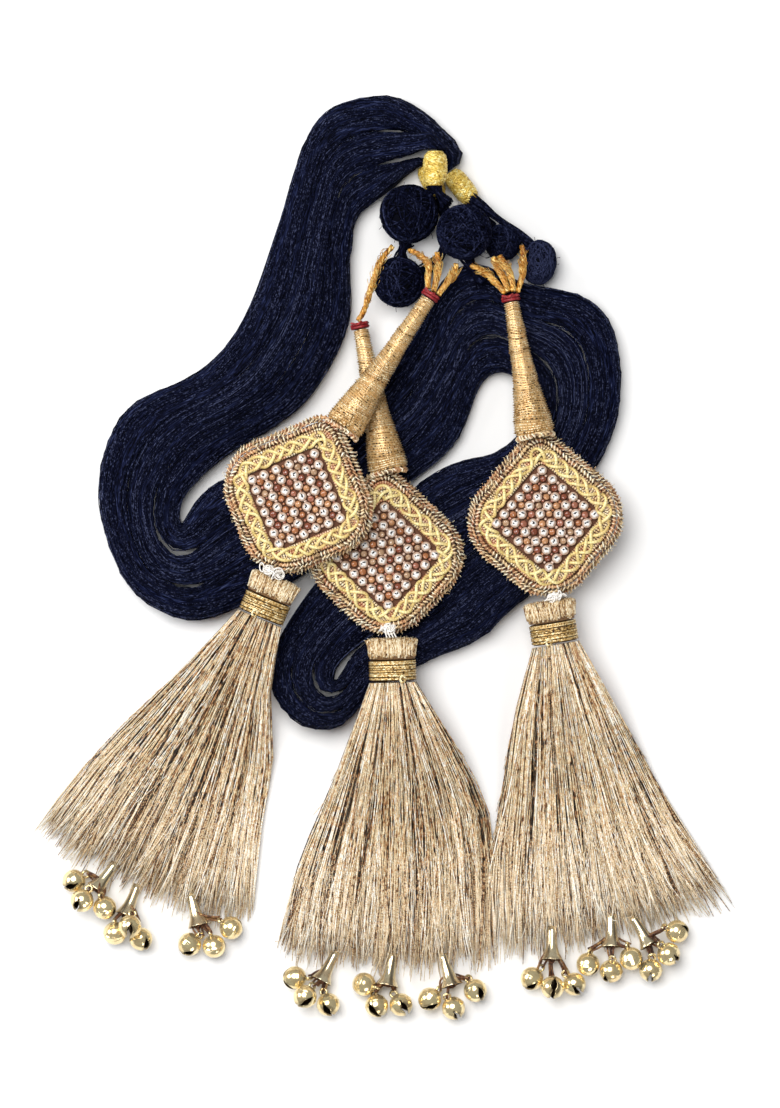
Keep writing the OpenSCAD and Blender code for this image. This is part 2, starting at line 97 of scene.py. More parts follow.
def addNode(tree, kind, links=(), **values):
    node = tree.nodes.new("ShaderNode" + kind)
    for key, value in values.items():
        setattr(node, key, value)
    for socket, source in dict(links).items():
        if isinstance(source, bpy.types.NodeSocket):
            tree.links.new(source, node.inputs[socket])
        else:
            node.inputs[socket].default_value = source
    return node


# Spun fibre: picks a colour for each thread, flecks it along its length (partly its own uneven tone, partly painted
# highlights on the twist), paints shade into the twist's grooves by Twist Shade and gives a fine ribbed height.
def makeThreadGroup():
    group, given, result = newGroup(
        "spun thread",
        [("Dark", "Color", (0, 0, 0, 1)), ("Middle", "Color", (0.5, 0.5, 0.5, 1)), ("Light", "Color", (1, 1, 1, 1)),
         ("Fleck Length", "Float", 0.002), ("Fleck", "Float", 0.4), ("Twist Length", "Float", 0.0008),
         ("Twist Shade", "Float", 0.0)],
        [("Color", "Color", None), ("Fleck", "Float", None), ("Height", "Float", None)])
    tone = addNode(group, "Attribute", attribute_name="tone").outputs["Fac"]
    along = addNode(group, "Attribute", attribute_name="along").outputs["Fac"]
    place = addNode(group, "Math", {0: along, 1: given.outputs["Fleck Length"]}, operation="DIVIDE").outputs[0]
    spot = addNode(group, "CombineXYZ",
                   {0: place, 1: addNode(group, "Math", {0: tone, 1: 311.0}, operation="MULTIPLY").outputs[0]})
    noise = addNode(group, "TexNoise", {"Vector": spot.outputs[0], "Scale": 1.0, "Detail": 2.0, "Roughness": 0.6})
    # Flecks toward Light: partly the thread's own uneven tone, partly painted highlights on its twist.
    swing = addNode(group, "MapRange",
                    {"Value": noise.outputs["Fac"], "From Min": 0.3, "From Max": 0.7, "To Min": -1.0, "To Max": 1.0})
    moved = addNode(group, "Math", {0: swing.outputs[0], 1: given.outputs["Fleck"], 2: tone},
                    operation="MULTIPLY_ADD", use_clamp=True).outputs[0]
    low = addNode(group, "MapRange", {"Value": moved, "From Min": 0.0, "From Max": 0.5}).outputs[0]
    high = addNode(group, "MapRange", {"Value": moved, "From Min": 0.5, "From Max": 1.0}).outputs[0]
    first = addNode(group, "MixRGB", {0: low, 1: given.outputs["Dark"], 2: given.outputs["Middle"]}).outputs[0]
    second = addNode(group, "MixRGB", {0: high, 1: first, 2: given.outputs["Light"]}).outputs[0]
    # Painted shade: Twist Shade darkens the colour toward Dark in the grooves between the turns of the twist.
    turns = addNode(group, "Math", {0: along, 1: given.outputs["Twist Length"]}, operation="DIVIDE").outputs[0]
    wave = addNode(group, "Math",
                   {0: addNode(group, "Math", {0: turns, 1: 6.2832}, operation="MULTIPLY").outputs[0]},
                   operation="SINE").outputs[0]
    gap = addNode(group, "MapRange",
                  {"Value": wave, "From Min": -0.8, "From Max": 0.1, "To Min": 1.0, "To Max": 0.0}).outputs[0]
    twistShade = addNode(group, "Math", {0: gap, 1: given.outputs["Twist Shade"]}, operation="MULTIPLY").outputs[0]
    twistShaded = addNode(group, "MixRGB", {0: twistShade, 1: second, 2: given.outputs["Dark"]}).outputs[0]
    group.links.new(twistShaded, result.inputs["Color"])
    group.links.new(moved, result.inputs["Fleck"])
    group.links.new(wave, result.inputs["Height"])
    return group


# A second colour in soft patches, as dyed or rubbed thread has it.
def makeStainGroup():
    group, given, result = newGroup(
        "stained thread",
        [("Color", "Color", (1, 1, 1, 1)), ("Stain", "Color", (0.5, 0.1, 0.05, 1)), ("Patch Size", "Float", 0.003),
         ("Amount", "Float", 0.5)],
        [("Color", "Color", None)])
    place = addNode(group, "TexCoord").outputs["Object"]
    size = addNode(group, "Math", {0: 1.0, 1: given.outputs["Patch Size"]}, operation="DIVIDE").outputs[0]
    patches = addNode(group, "TexNoise", {"Vector": place, "Scale": size, "Detail": 2.0}).outputs["Fac"]
    mask = addNode(group, "MapRange", {"Value": patches, "From Min": 0.47, "From Max": 0.60}).outputs[0]
    amount = addNode(group, "Math", {0: mask, 1: given.outputs["Amount"]}, operation="MULTIPLY").outputs[0]
    mixed = addNode(group, "MixRGB", {0: amount, 1: given.outputs["Color"], 2: given.outputs["Stain"]}).outputs[0]
    group.links.new(mixed, result.inputs["Color"])
    return group


# Handling wear on polished metal: a dull film in patches and fine brushed lines.
def makeTarnishGroup():
    group, given, result = newGroup(
        "tarnish",
        [("Bright", "Color", (1, 1, 1, 1)), ("Dull", "Color", (0.5, 0.4, 0.2, 1)), ("Patch Size", "Float", 0.002),
         ("Amount", "Float", 0.5)],
        [("Color", "Color", None), ("Roughness", "Float", None), ("Height", "Float", None)])
    place = addNode(group, "TexCoord").outputs["Object"]
    size = addNode(group, "Math", {0: 1.0, 1: given.outputs["Patch Size"]}, operation="DIVIDE").outputs[0]
    patches = addNode(group, "TexNoise",
                      {"Vector": place, "Scale": size, "Detail": 3.0, "Distortion": 0.6}).outputs["Fac"]
    fine = addNode(group, "TexNoise", {"Vector": place, "Scale": 4200.0, "Detail": 2.0}).outputs["Fac"]
    film = addNode(group, "MapRange", {"Value": patches, "From Min": 0.42, "From Max": 0.68}).outputs[0]
    amount = addNode(group, "Math", {0: film, 1: given.outputs["Amount"]}, operation="MULTIPLY").outputs[0]
    colour = addNode(group, "MixRGB", {0: amount, 1: given.outputs["Bright"], 2: given.outputs["Dull"]}).outputs[0]
    rough = addNode(group, "MapRange", {"Value": amount, "To Min": 0.14, "To Max": 0.36}).outputs[0]
    group.links.new(colour, result.inputs["Color"])
    group.links.new(rough, result.inputs["Roughness"])
    group.links.new(fine, result.inputs["Height"])
    return group


groups = {}


def newMaterial(name, **constants):
    material = bpy.data.materials.new(name)
    material.use_nodes = True
    shader = material.node_tree.nodes["Principled BSDF"]
    for socket, value in constants.items():
        shader.inputs[socket.replace("_", " ")].default_value = value
    return material, material.node_tree, shader


threadLooks = {                  # dark, middle, light colour, fleck length, fleck, roughness, relief, painted twist shade, sockets
    "black thread": ((0.0006, 0.0007, 0.0022), (0.0034, 0.0047, 0.0185), (0.080, 0.095, 0.185),
                     0.0009, 0.44, 0.55, 0.1, 0,
                     {"Specular_IOR_Level": 0.03, "Sheen_Weight": 0.012, "Sheen_Tint": (0.45, 0.55, 1.0, 1)}),
    "ball thread": ((0.0008, 0.0009, 0.0018), (0.0028, 0.0040, 0.0165), (0.036, 0.044, 0.100),
                    0.0010, 0.36, 0.65, 0.1, 0, {"Specular_IOR_Level": 0.04}),
    "cap thread": ((0.11, 0.036, 0.010), (0.54, 0.35, 0.155), (0.92, 0.82, 0.60), 0.0011, 0.60, 0.50, 0.2, 0, {}),
    "gold cord": ((0.16, 0.045, 0.005), (0.74, 0.34, 0.040), (1.0, 0.80, 0.32), 0.0011, 0.60, 0.38, 0.3, 0,
                  {"Metallic": 0.2}),
    "gold net": ((0.22, 0.09, 0.006), (0.80, 0.56, 0.10), (1.0, 0.90, 0.42), 0.0010, 0.42, 0.36, 0.3, 0,
                 {"Metallic": 0.25}),
    "red thread": ((0.05, 0.002, 0.004), (0.26, 0.010, 0.016), (0.60, 0.08, 0.08), 0.0012, 0.35, 0.45, 0.2, 0, {}),
    "tie thread": ((0.030, 0.008, 0.004), (0.16, 0.060, 0.022), (0.55, 0.34, 0.13), 0.0012, 0.40, 0.45, 0.2, 0,
                   {"Metallic": 0.2}),
    "stem thread": ((0.030, 0.009, 0.002), (0.62, 0.38, 0.135), (1.0, 0.93, 0.68), 0.0008, 0.80, 0.34, 0.3, 0,
                    {"Metallic": 0.35}),
    "edge twist": ((0.060, 0.015, 0.005), (0.92, 0.66, 0.34), (1.0, 0.96, 0.76), 0.0010, 0.40, 0.36, 0.3, 0,
                   {"Metallic": 0.1}),
    "coiled wire": ((0.050, 0.012, 0.004), (0.80, 0.56, 0.26), (1.0, 0.94, 0.70), 0.0009, 0.45, 0.34, 0.5, 1.0,
                    {"Metallic": 0.1}),
    "gold braid": ((0.22, 0.11, 0.020), (0.78, 0.60, 0.21), (1.0, 0.91, 0.50), 0.0014, 0.40, 0.40, 0.2, 0.22,
                   {"Metallic": 0.1}),
    "wrap wire": ((0.030, 0.009, 0.003), (0.58, 0.36, 0.11), (1.0, 0.90, 0.58), 0.0010, 0.55, 0.30, 0.1, 0,
                  {"Metallic": 0.4}),
    "white thread": ((0.62, 0.54, 0.46), (0.88, 0.84, 0.78), (1.0, 0.98, 0.95), 0.0018, 0.25, 0.55, 0.2, 0,
                     {"Sheen_Weight": 0.2})}
stains = {                       # colour, patch size, amount
    "edge twist": ((0.66, 0.25, 0.10), 0.0032, 0.38),
    "coiled wire": ((0.45, 0.10, 0.04), 0.0034, 0.5),
    "stem thread": ((0.66, 0.33, 0.09), 0.0018, 0.30),
    "gold cord": ((0.42, 0.13, 0.012), 0.0030, 0.5),
    "gold braid": ((0.78, 0.50, 0.20), 0.0060, 0.25)}


def makeThreadMaterials():
    made = {}
    for name, (dark, middle, light, fleckLength, fleck, roughness, relief, twistShade, constants) in threadLooks.items():
        material, tree, shader = newMaterial(name, **constants)
        thread = addNode(tree, "Group", node_tree=groups["thread"])
        for socket, value in (("Dark", (*dark, 1)), ("Middle", (*middle, 1)), ("Light", (*light, 1)),
                              ("Fleck Length", fleckLength), ("Fleck", fleck), ("Twist Shade", twistShade)):
            thread.inputs[socket].default_value = value
        colour = thread.outputs["Color"]
        if name in stains:
            stain, size, amount = stains[name]
            links = {"Color": colour, "Stain": (*stain, 1), "Patch Size": size, "Amount": amount}
            colour = addNode(tree, "Group", node_tree=groups["stain"])
            for socket, value in links.items():
                if socket == "Color":
                    tree.links.new(value, colour.inputs[socket])
                else:
                    colour.inputs[socket].default_value = value
            colour = colour.outputs["Color"]
        rough = addNode(tree, "MapRange",
                        {"Value": thread.outputs["Fleck"], "To Min": roughness + 0.12, "To Max": roughness - 0.08})
        bump = addNode(tree, "Bump", {"Height": thread.outputs["Height"], "Strength": relief, "Distance": 0.00008})
        tree.links.new(colour, shader.inputs["Base Color"])
        tree.links.new(rough.outputs[0], shader.inputs["Roughness"])
        tree.links.new(bump.outputs[0], shader.inputs["Normal"])
        made[name] = material
    return made


tasselColours = {                # place on the way from dark to light, colour
    0.0: (0.016, 0.010, 0.006), 0.14: (0.12, 0.055, 0.024), 0.26: (0.42, 0.20, 0.085), 0.38: (0.58, 0.39, 0.195),
    0.50: (0.86, 0.70, 0.45), 0.60: (0.58, 0.45, 0.28), 0.72: (0.96, 0.88, 0.68), 0.86: (0.72, 0.46, 0.22),
    1.0: (1.0, 0.97, 0.88)}


# The skirts mix threads of many browns and creams, and each changes along its length.
def makeTasselMaterial():
    material, tree, shader = newMaterial("tassel thread", Specular_IOR_Level=0.4, Roughness=0.42)
    thread = addNode(tree, "Group", node_tree=groups["thread"])
    thread.inputs["Fleck Length"].default_value, thread.inputs["Fleck"].default_value = 0.0026, 0.40
    ramp = addNode(tree, "ValToRGB", {"Fac": thread.outputs["Fleck"]})
    for place in list(tasselColours)[2:]:
        ramp.color_ramp.elements.new(place)
    for element, (place, colour) in zip(ramp.color_ramp.elements, tasselColours.items()):
        element.position, element.color = place, (*colour, 1)
    tree.links.new(ramp.outputs["Color"], shader.inputs["Base Color"])
    return {"tassel thread": material}


metalLooks = {                   # bright, dull, patch size, amount
    "bell brass": ((1.0, 0.84, 0.48), (0.70, 0.44, 0.18), 0.0026, 0.50),
    "horn brass": ((1.0, 0.87, 0.58), (0.60, 0.37, 0.18), 0.0030, 0.60)}


def makeMetalMaterials():
    made = {}
    for name, (bright, dull, patch, amount) in metalLooks.items():
        material, tree, shader = newMaterial(name, Metallic=0.8)
        film = addNode(tree, "Group", node_tree=groups["tarnish"])
        for socket, value in (("Bright", (*bright, 1)), ("Dull", (*dull, 1)), ("Patch Size", patch),
                              ("Amount", amount)):
            film.inputs[socket].default_value = value
        bump = addNode(tree, "Bump", {"Height": film.outputs["Height"], "Strength": 0.25, "Distance": 0.00004})
        # The tone attribute mixes in near-black: painted shade inside the horns and bells.
        tone = addNode(tree, "Attribute", attribute_name="tone").outputs["Fac"]
        shaded = addNode(tree, "MixRGB", {0: tone, 1: (0.045, 0.018, 0.006, 1), 2: film.outputs["Color"]}).outputs[0]
        tree.links.new(shaded, shader.inputs["Base Color"])
        tree.links.new(film.outputs["Roughness"], shader.inputs["Roughness"])
        tree.links.new(bump.outputs[0], shader.inputs["Normal"])
        made[name] = material
    return made


# The skeins' inner mass: fine strands that run along it, for the gaps between the threads on top.
def makeFillMaterial():
    material, tree, shader = newMaterial("skein fill", Roughness=0.6, Specular_IOR_Level=0.02)
    across = addNode(tree, "Attribute", attribute_name="tone").outputs["Fac"]
    along = addNode(tree, "Attribute", attribute_name="along").outputs["Fac"]
    place = addNode(tree, "CombineXYZ",
                    {0: addNode(tree, "Math", {0: along, 1: 240.0}, operation="MULTIPLY").outputs[0],
                     1: addNode(tree, "Math", {0: across, 1: 34.0}, operation="MULTIPLY").outputs[0]})
    strands = addNode(tree, "TexNoise",
                      {"Vector": place.outputs[0], "Scale": 1.0, "Detail": 3.0, "Roughness": 0.7,
                       "Distortion": 0.5}).outputs["Fac"]
    ramp = addNode(tree, "ValToRGB", {"Fac": strands})
    stops = ((0.40, (0.0005, 0.0006, 0.0020)), (0.50, (0.0030, 0.0042, 0.0165)), (0.60, (0.012, 0.017, 0.052)),
             (0.72, (0.060, 0.074, 0.150)))
    for place, colour in stops[2:]:
        ramp.color_ramp.elements.new(place)
    for element, (place, colour) in zip(ramp.color_ramp.elements, stops):
        element.position, element.color = place, (*colour, 1)
    bump = addNode(tree, "Bump", {"Height": strands, "Strength": 0.5, "Distance": 0.0003})
    tree.links.new(ramp.outputs["Color"], shader.inputs["Base Color"])
    tree.links.new(bump.outputs[0], shader.inputs["Normal"])
    return material


# Woven cloth under the beads.
def makeClothMaterial():
    material, tree, shader = newMaterial("pad cloth", Roughness=0.8, Sheen_Weight=0.2)
    place = addNode(tree, "TexCoord").outputs["Object"]
    weave = addNode(tree, "TexWave", {"Vector": place, "Scale": 900.0, "Distortion": 1.5, "Detail": 2.0},
                    wave_type="BANDS", bands_direction="DIAGONAL").outputs["Fac"]
    spots = addNode(tree, "TexNoise", {"Vector": place, "Scale": 650.0, "Detail": 3.0}).outputs["Fac"]
    colour = addNode(tree, "MixRGB", {0: spots, 1: (0.07, 0.020, 0.008, 1), 2: (0.26, 0.11, 0.040, 1)}).outputs[0]
    shade = addNode(tree, "MixRGB", {0: weave, 1: colour, 2: (0.10, 0.03, 0.016, 1)}).outputs[0]
    bump = addNode(tree, "Bump", {"Height": weave, "Strength": 0.4, "Distance": 0.0001})
    tree.links.new(shade, shader.inputs["Base Color"])
    tree.links.new(bump.outputs[0], shader.inputs["Normal"])
    return material


# Glass seed beads, each with its own colour, and clear crystals in pale settings.
def makeBeadMaterials():
    bead, tree, shader = newMaterial("seed bead", Roughness=0.12, Coat_Weight=0.6, Coat_Roughness=0.05)
    tone = addNode(tree, "Attribute", attribute_name="tone").outputs["Fac"]
    ramp = addNode(tree, "ValToRGB", {"Fac": tone})
    ramp.color_ramp.interpolation = "CONSTANT"
    colours = ((0.0, (0.26, 0.085, 0.048)), (0.16, (0.46, 0.20, 0.085)), (0.38, (0.60, 0.34, 0.17)),
               (0.62, (0.42, 0.18, 0.12)), (0.78, (0.50, 0.36, 0.23)), (0.9, (0.78, 0.64, 0.55)))
    for place, colour in colours[2:]:
        ramp.color_ramp.elements.new(place)
    for element, (place, colour) in zip(ramp.color_ramp.elements, colours):
        element.position, element.color = place, (*colour, 1)
    cloud = addNode(tree, "TexNoise", {"Vector": addNode(tree, "TexCoord").outputs["Object"], "Scale": 1300.0})
    mixed = addNode(tree, "MixRGB", {0: cloud.outputs["Fac"], 1: ramp.outputs["Color"], 2: (0.70, 0.48, 0.36, 1)},
                    blend_type="MULTIPLY")
    tree.links.new(mixed.outputs[0], shader.inputs["Base Color"])
    crystal, tree, shader = newMaterial("crystal", Roughness=0.12, IOR=1.45, Specular_IOR_Level=0.35)
    tone = addNode(tree, "Attribute", attribute_name="tone").outputs["Fac"]
    ramp = addNode(tree, "ValToRGB", {"Fac": tone})
    stops = ((0.0, (0.006, 0.006, 0.010)), (0.18, (0.07, 0.026, 0.014)), (0.34, (0.26, 0.14, 0.09)),
             (0.50, (0.56, 0.40, 0.30)), (0.75, (0.58, 0.49, 0.42)), (1.0, (0.80, 0.80, 0.79)))
    for place, colour in stops[2:]:
        ramp.color_ramp.elements.new(place)
    for element, (place, colour) in zip(ramp.color_ramp.elements, stops):
        element.position, element.color = place, (*colour, 1)
    tree.links.new(ramp.outputs["Color"], shader.inputs["Base Color"])
    return {"seed bead": bead, "crystal": crystal}


def makeFloorMaterial():
    material, tree, shader = newMaterial("floor", Roughness=0.6)
    place = addNode(tree, "TexCoord").outputs["Object"]
    grain = addNode(tree, "TexNoise", {"Vector": place, "Scale": 30.0, "Detail": 3.0}).outputs["Fac"]
    colour = addNode(tree, "MixRGB", {0: grain, 1: (0.93, 0.93, 0.935, 1), 2: (0.95, 0.95, 0.955, 1)}).outputs[0]
    tree.links.new(colour, shader.inputs["Base Color"])
    return material


addCamera()
addLamps()
groups["thread"] = makeThreadGroup()
groups["stain"] = makeStainGroup()
groups["tarnish"] = makeTarnishGroup()
materials = {**makeThreadMaterials(), **makeTasselMaterial(), **makeMetalMaterials(), **makeBeadMaterials(),
             "pad cloth": makeClothMaterial(), "skein fill": makeFillMaterial(), "floor": makeFloorMaterial()}
print("camera, light and", len(materials), "materials ready")

# Meshes made of many threads.

def unit(v):
    return v / np.maximum(np.linalg.norm(v, axis=-1, keepdims=True), 1e-12)


# A smooth row between each pair of rows, as the part's own source does it.
def smoothRows(rows, steps):
    rows = np.asarray(rows, float)
    padded = np.concatenate([rows[:1], rows, rows[-1:]])
    a, b, c, d = (padded[i:i + len(rows) - 1, None] for i in range(4))
    t = (np.arange(steps) / steps)[None, :, None]
    between = 0.5 * (2 * b + (c - a) * t + (2 * a - 5 * b + 4 * c - d) * t ** 2 + (3 * b - a - 3 * c + d) * t ** 3)
    return np.concatenate([between.reshape(-1, rows.shape[1]), rows[-1:]])


# The same rows again at even steps along the line of their first three columns.
def evenRows(rows, spacing, line=None):
    line = rows[:, :3] if line is None else line
    length = np.concatenate([[0], np.cumsum(np.linalg.norm(np.diff(line, axis=0), axis=1))])
    places = np.linspace(0, length[-1], max(4, int(round(length[-1] / spacing)) + 1))
    return np.stack([np.interp(places, length, rows[:, c]) for c in range(rows.shape[1])], 1), places


def newShape(points, quads=(), tris=(), tone=0.5, along=0.0):
    points = np.asarray(points, float).reshape(-1, 3)
    return {"points": points, "quads": np.asarray(quads, int).reshape(-1, 4),
            "tris": np.asarray(tris, int).reshape(-1, 3),
            "tone": np.broadcast_to(np.asarray(tone, float).ravel(), len(points)),
            "along": np.broadcast_to(np.asarray(along, float).ravel(), len(points))}


# Closed tubes: paths is threads by points by 3, and outward is the side that a flat thread shows.
def tubes(paths, radius, sides=3, outward=(0, 0, 1), tone=0.5, flat=1.0):
    paths = np.asarray(paths, float)
    paths = paths[None] if paths.ndim == 2 else paths
    count, rings = paths.shape[:2]
    run = unit(np.gradient(paths, axis=1))
    side = unit(np.cross(run, np.broadcast_to(outward, paths.shape)))
    up = np.cross(side, run)
    radius = np.asarray(radius, float)
    radius = np.broadcast_to(radius[:, None] if radius.ndim == 1 else radius, (count, rings))
    angle = np.arange(sides) * 2 * np.pi / sides + np.pi / 2
    ring = side[:, :, None] * np.cos(angle)[:, None] + flat * up[:, :, None] * np.sin(angle)[:, None]
    points = paths[:, :, None] + radius[..., None, None] * ring
    index = np.arange(count * rings * sides).reshape(count, rings, sides)
    after = np.roll(index, -1, axis=2)
    quads = np.stack([index[:, :-1], index[:, 1:], after[:, 1:], after[:, :-1]], -1)
    fan = np.array([(0, j, j + 1) for j in range(1, sides - 1)])
    ends = np.concatenate([index[:, 0][:, fan], index[:, -1][:, fan[:, ::-1]]])
    tone = np.asarray(tone, float)
    tone = np.broadcast_to(tone[:, None] if tone.ndim == 1 else tone, (count, rings))
    steps = np.linalg.norm(np.diff(paths, axis=1), axis=2)
    along = np.concatenate([np.zeros((count, 1)), np.cumsum(steps, axis=1)], axis=1)
    return newShape(points, quads, ends, np.repeat(tone, sides, axis=1), np.repeat(along, sides, axis=1))


# A closed skin through rings of points.
def skin(rings, tone=0.2):
    rings = np.asarray(rings, float)
    count, sides = rings.shape[:2]
    index = np.arange(count * sides).reshape(count, sides)
    after = np.roll(index, -1, axis=1)
    quads = np.stack([index[:-1], index[1:], after[1:], after[:-1]], -1)
    middles = np.stack([rings[0].mean(0), rings[-1].mean(0)])
    first, last = count * sides, count * sides + 1
    tris = np.concatenate([np.stack([np.full(sides, first), index[0], after[0]], -1),
                           np.stack([np.full(sides, last), after[-1], index[-1]], -1)])
    return newShape(np.concatenate([rings.reshape(-1, 3), middles]), quads, tris, tone)


# A skin turned round the line from start to end: rows of share of length and radius.
def turnedRings(start, end, rows, sides):
    start, end = np.asarray(start, float), np.asarray(end, float)
    run = unit(end - start)
    side = unit(np.cross(run, (0, 0, 1)) if abs(run[2]) < 0.95 else np.cross(run, (0, 1, 0)))
    up = np.cross(side, run)
    a = np.arange(sides) * 2 * np.pi / sides
    spoke = side * np.cos(a)[:, None] + up * np.sin(a)[:, None]
    return np.array([start + (end - start) * share + r * spoke for share, r in rows])


def placed(shape, matrix):
    points = shape["points"] @ matrix[:3, :3].T + matrix[:3, 3]
    return {**shape, "points": points}


pieceCount = {"pieces": 0, "triangles": 0}


# One object made of several shapes. It rides on the paranda and may stand for CAD nodes.
def addPiece(name, shapes, material, nodes=(), smooth=True):
    starts = np.cumsum([0] + [len(s["points"]) for s in shapes])
    points = np.concatenate([s["points"] for s in shapes])
    if not np.isfinite(points).all():  # a broken point would draw a stray face to the middle of the floor
        raise ValueError(name + " has points that are not finite")
    quads = np.concatenate([s["quads"] + n for s, n in zip(shapes, starts)])
    tris = np.concatenate([s["tris"] + n for s, n in zip(shapes, starts)])
    mesh = bpy.data.meshes.new(name)
    mesh.vertices.add(len(points))
    mesh.vertices.foreach_set("co", points.astype(np.float32).ravel())
    corners = np.concatenate([quads.ravel(), tris.ravel()]).astype(np.int32)
    mesh.loops.add(len(corners))
    mesh.loops.foreach_set("vertex_index", corners)
    sizes = np.concatenate([np.full(len(quads), 4), np.full(len(tris), 3)])
    mesh.polygons.add(len(sizes))
    mesh.polygons.foreach_set("loop_start", (np.cumsum(sizes) - sizes).astype(np.int32))
    mesh.polygons.foreach_set("use_smooth", np.full(len(sizes), smooth))
    for key in ("tone", "along"):
        layer = mesh.attributes.new(key, "FLOAT", "POINT")
        layer.data.foreach_set("value", np.concatenate([s[key] for s in shapes]).astype(np.float32))
    mesh.update(calc_edges=True)
    mesh.materials.append(materials[material])
    piece = bpy.data.objects.new(name, mesh)
    scene.collection.objects.link(piece)
    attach(piece, "root")
    if nodes:
        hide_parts(*nodes)
    pieceCount["pieces"] += 1
    pieceCount["triangles"] += 2 * len(quads) + len(tris)
    return piece


def addFloor():
    half = 1.6
    shape = newShape([(-half, -half, -0.0002), (half, -half, -0.0002), (half, half, -0.0002),
                      (-half, half, -0.0002)], [(0, 1, 2, 3)])
    mesh = bpy.data.meshes.new("floor")
    mesh.from_pydata([tuple(p) for p in shape["points"]], [], [(0, 1, 2, 3)])
    mesh.materials.append(materials["floor"])
    floor = bpy.data.objects.new("floor", mesh)
    scene.collection.objects.link(floor)


# Skeins of black thread.
skeinRoute = [
    [-0.0005, 0.108, 0.0025, 0.1385, 0, 0.0085], [-0.009, 0.103, -0.0175, 0.134, 0, 0.009],
    [-0.0095, 0.097, -0.025, 0.1205, 0, 0.0095], [-0.011, 0.088, -0.03, 0.103, 0, 0.0095],
    [-0.011, 0.07, -0.04, 0.074, 0, 0.0095], [-0.0225, 0.048, -0.0535, 0.056, 0, 0.0095],
    [-0.0365, 0.037, -0.0665, 0.05, 0, 0.0095], [-0.0475, 0.031, -0.0785, 0.043, 0, 0.01],
    [-0.0585, 0.021, -0.085, 0.026, 0, 0.0105], [-0.062, 0.0155, -0.085, 0.013, 0, 0.011],
    [-0.062, 0.0085, -0.0775, -0.0085, 0, 0.011], [-0.0605, 0.008, -0.069, -0.015, 0, 0.011],
    [-0.0595, 0.0085, -0.058, -0.02, 0, 0.011], [-0.059, 0.0125, -0.048, -0.0165, 0, 0.0114],
    [-0.051, 0.0215, -0.032, -0.01, 0, 0.0117], [-0.0355, 0.027, -0.0185, -0.0005, 0, 0.0086],
    [-0.017, 0.0355, -0.0035, 0.015, 0, 0.008], [-0.003, 0.0505, 0.02, 0.0325, 0, 0.007],
    [0.011, 0.068, 0.0265, 0.048, 0, 0.0076], [0.0175, 0.083, 0.0295, 0.0545, 0, 0.0082],
    [0.0285, 0.0885, 0.0345, 0.057, 0, 0.0086], [0.041, 0.081, 0.0395, 0.0545, 0, 0.009],
    [0.0575, 0.079, 0.0435, 0.05, 0, 0.0092], [0.0655, 0.074, 0.044, 0.046, 0, 0.0095],
    [0.07, 0.0635, 0.044, 0.0425, 0, 0.0095], [0.07, 0.0415, 0.0415, 0.0365, 0, 0.0098],
    [0.06, 0.022, 0.034, 0.0305, 0, 0.0098], [0.0515, 0.0145, 0.029, 0.029, 0, 0.0095],
    [0.0415, 0.01, 0.023, 0.0285, 0, 0.0085], [0.0245, 0.0005, 0.0085, 0.0195, 0, 0.0084],
    [0.008, -0.014, -0.0085, 0.0025, 0, 0.0084], [-0.001, -0.021, -0.017, -0.005, 0, 0.0084],
    [-0.0095, -0.0275, -0.025, -0.0155, 0, 0.01], [-0.016, -0.034, -0.035, -0.0335, 0, 0.0115],
    [-0.016, -0.038, -0.0295, -0.0475, 0, 0.012], [-0.015, -0.039, -0.023, -0.0515, 0, 0.012],
    [-0.014, -0.039, -0.015, -0.0525, 0, 0.012], [-0.013, -0.038, -0.009, -0.0485, 0, 0.012],
    [-0.0125, -0.036, -0.0055, -0.0415, 0, 0.0098], [-0.011, -0.0315, 0, -0.037, 0, 0.0076],
    [0, -0.022, 0.014, -0.031, 0, 0.0072], [0.0145, -0.0098, 0.03, -0.024, 0, 0.0086],
    [0.0215, -0.0036, 0.0365, -0.017, 0, 0.0094], [0.036, 0.0058, 0.0485, -0.007, 0, 0.0098],
    [0.043, 0.008, 0.0525, -0.002, 0, 0.009]]
skeinLeads = [
    [[0.0089, 0.1162, 0.0143, 0.1191, 0, 0.007], [0.0045, 0.1128, 0.0075, 0.1193, 0, 0.008]],
    [[0.0118, 0.1218, 0.0188, 0.1218, 0.0093, 0.0074], [0.0113, 0.1217, 0.015, 0.1265, 0.0076, 0.0075],
     [0.0095, 0.1213, 0.011, 0.126, 0.0045, 0.008], [0.0055, 0.1203, 0.007, 0.126, 0.001, 0.0085]],
    [[0.018, 0.1148, 0.0222, 0.1178, 0, 0.0068], [0.0187, 0.1185, 0.023, 0.1205, 0, 0.007],
     [0.0176, 0.1218, 0.0208, 0.125, 0, 0.007], [0.0146, 0.1252, 0.017, 0.1295, 0, 0.007],
     [0.011, 0.127, 0.0125, 0.1325, 0, 0.0075], [0.0065, 0.1278, 0.008, 0.136, 0, 0.008]]]
skeinNames = ["inner", "centre", "outer"]
skeinThreads = {
    "layers": ((46, 1.0), (16, 0.95)),  # threads and how far out each layer lies
    "fill": (1.0, 0.66, 1.0),    # share of these threads in each skein
    "radius": 0.00022, "spacing": 0.0037, "wander": 0.00040,
    "grooves": 7.0, "grooveDepth": 0.07, "core": 0.94, "coreLines": 30, "strays": 44, "seed": 3}


# Rows of one skein: both edges x y, underside z, height, and how far it has joined the others.
def skeinRows(k):
    lead = [row + [0.0] for row in skeinLeads[k]]
    for ax, ay, bx, by, z, height in skeinRoute:
        first, second = k / 3, (k + 1) / 3
        lead.append([ax + (bx - ax) * first, ay + (by - ay) * first, ax + (bx - ax) * second, ay + (by - ay) * second,
                     z, height, 1.0])
    rows = smoothRows(lead, 6)
    rows[:, 6] = np.clip(rows[:, 6], 0, 1)
    middle = np.stack([(rows[:, 0] + rows[:, 2]) / 2, (rows[:, 1] + rows[:, 3]) / 2, np.zeros(len(rows))], 1)
    rows, places = evenRows(rows, skeinThreads["spacing"], middle)
    for _ in range(3):
        rows[2:-2] = 0.25 * rows[1:-3] + 0.5 * rows[2:-2] + 0.25 * rows[3:-1]
    return rows, places


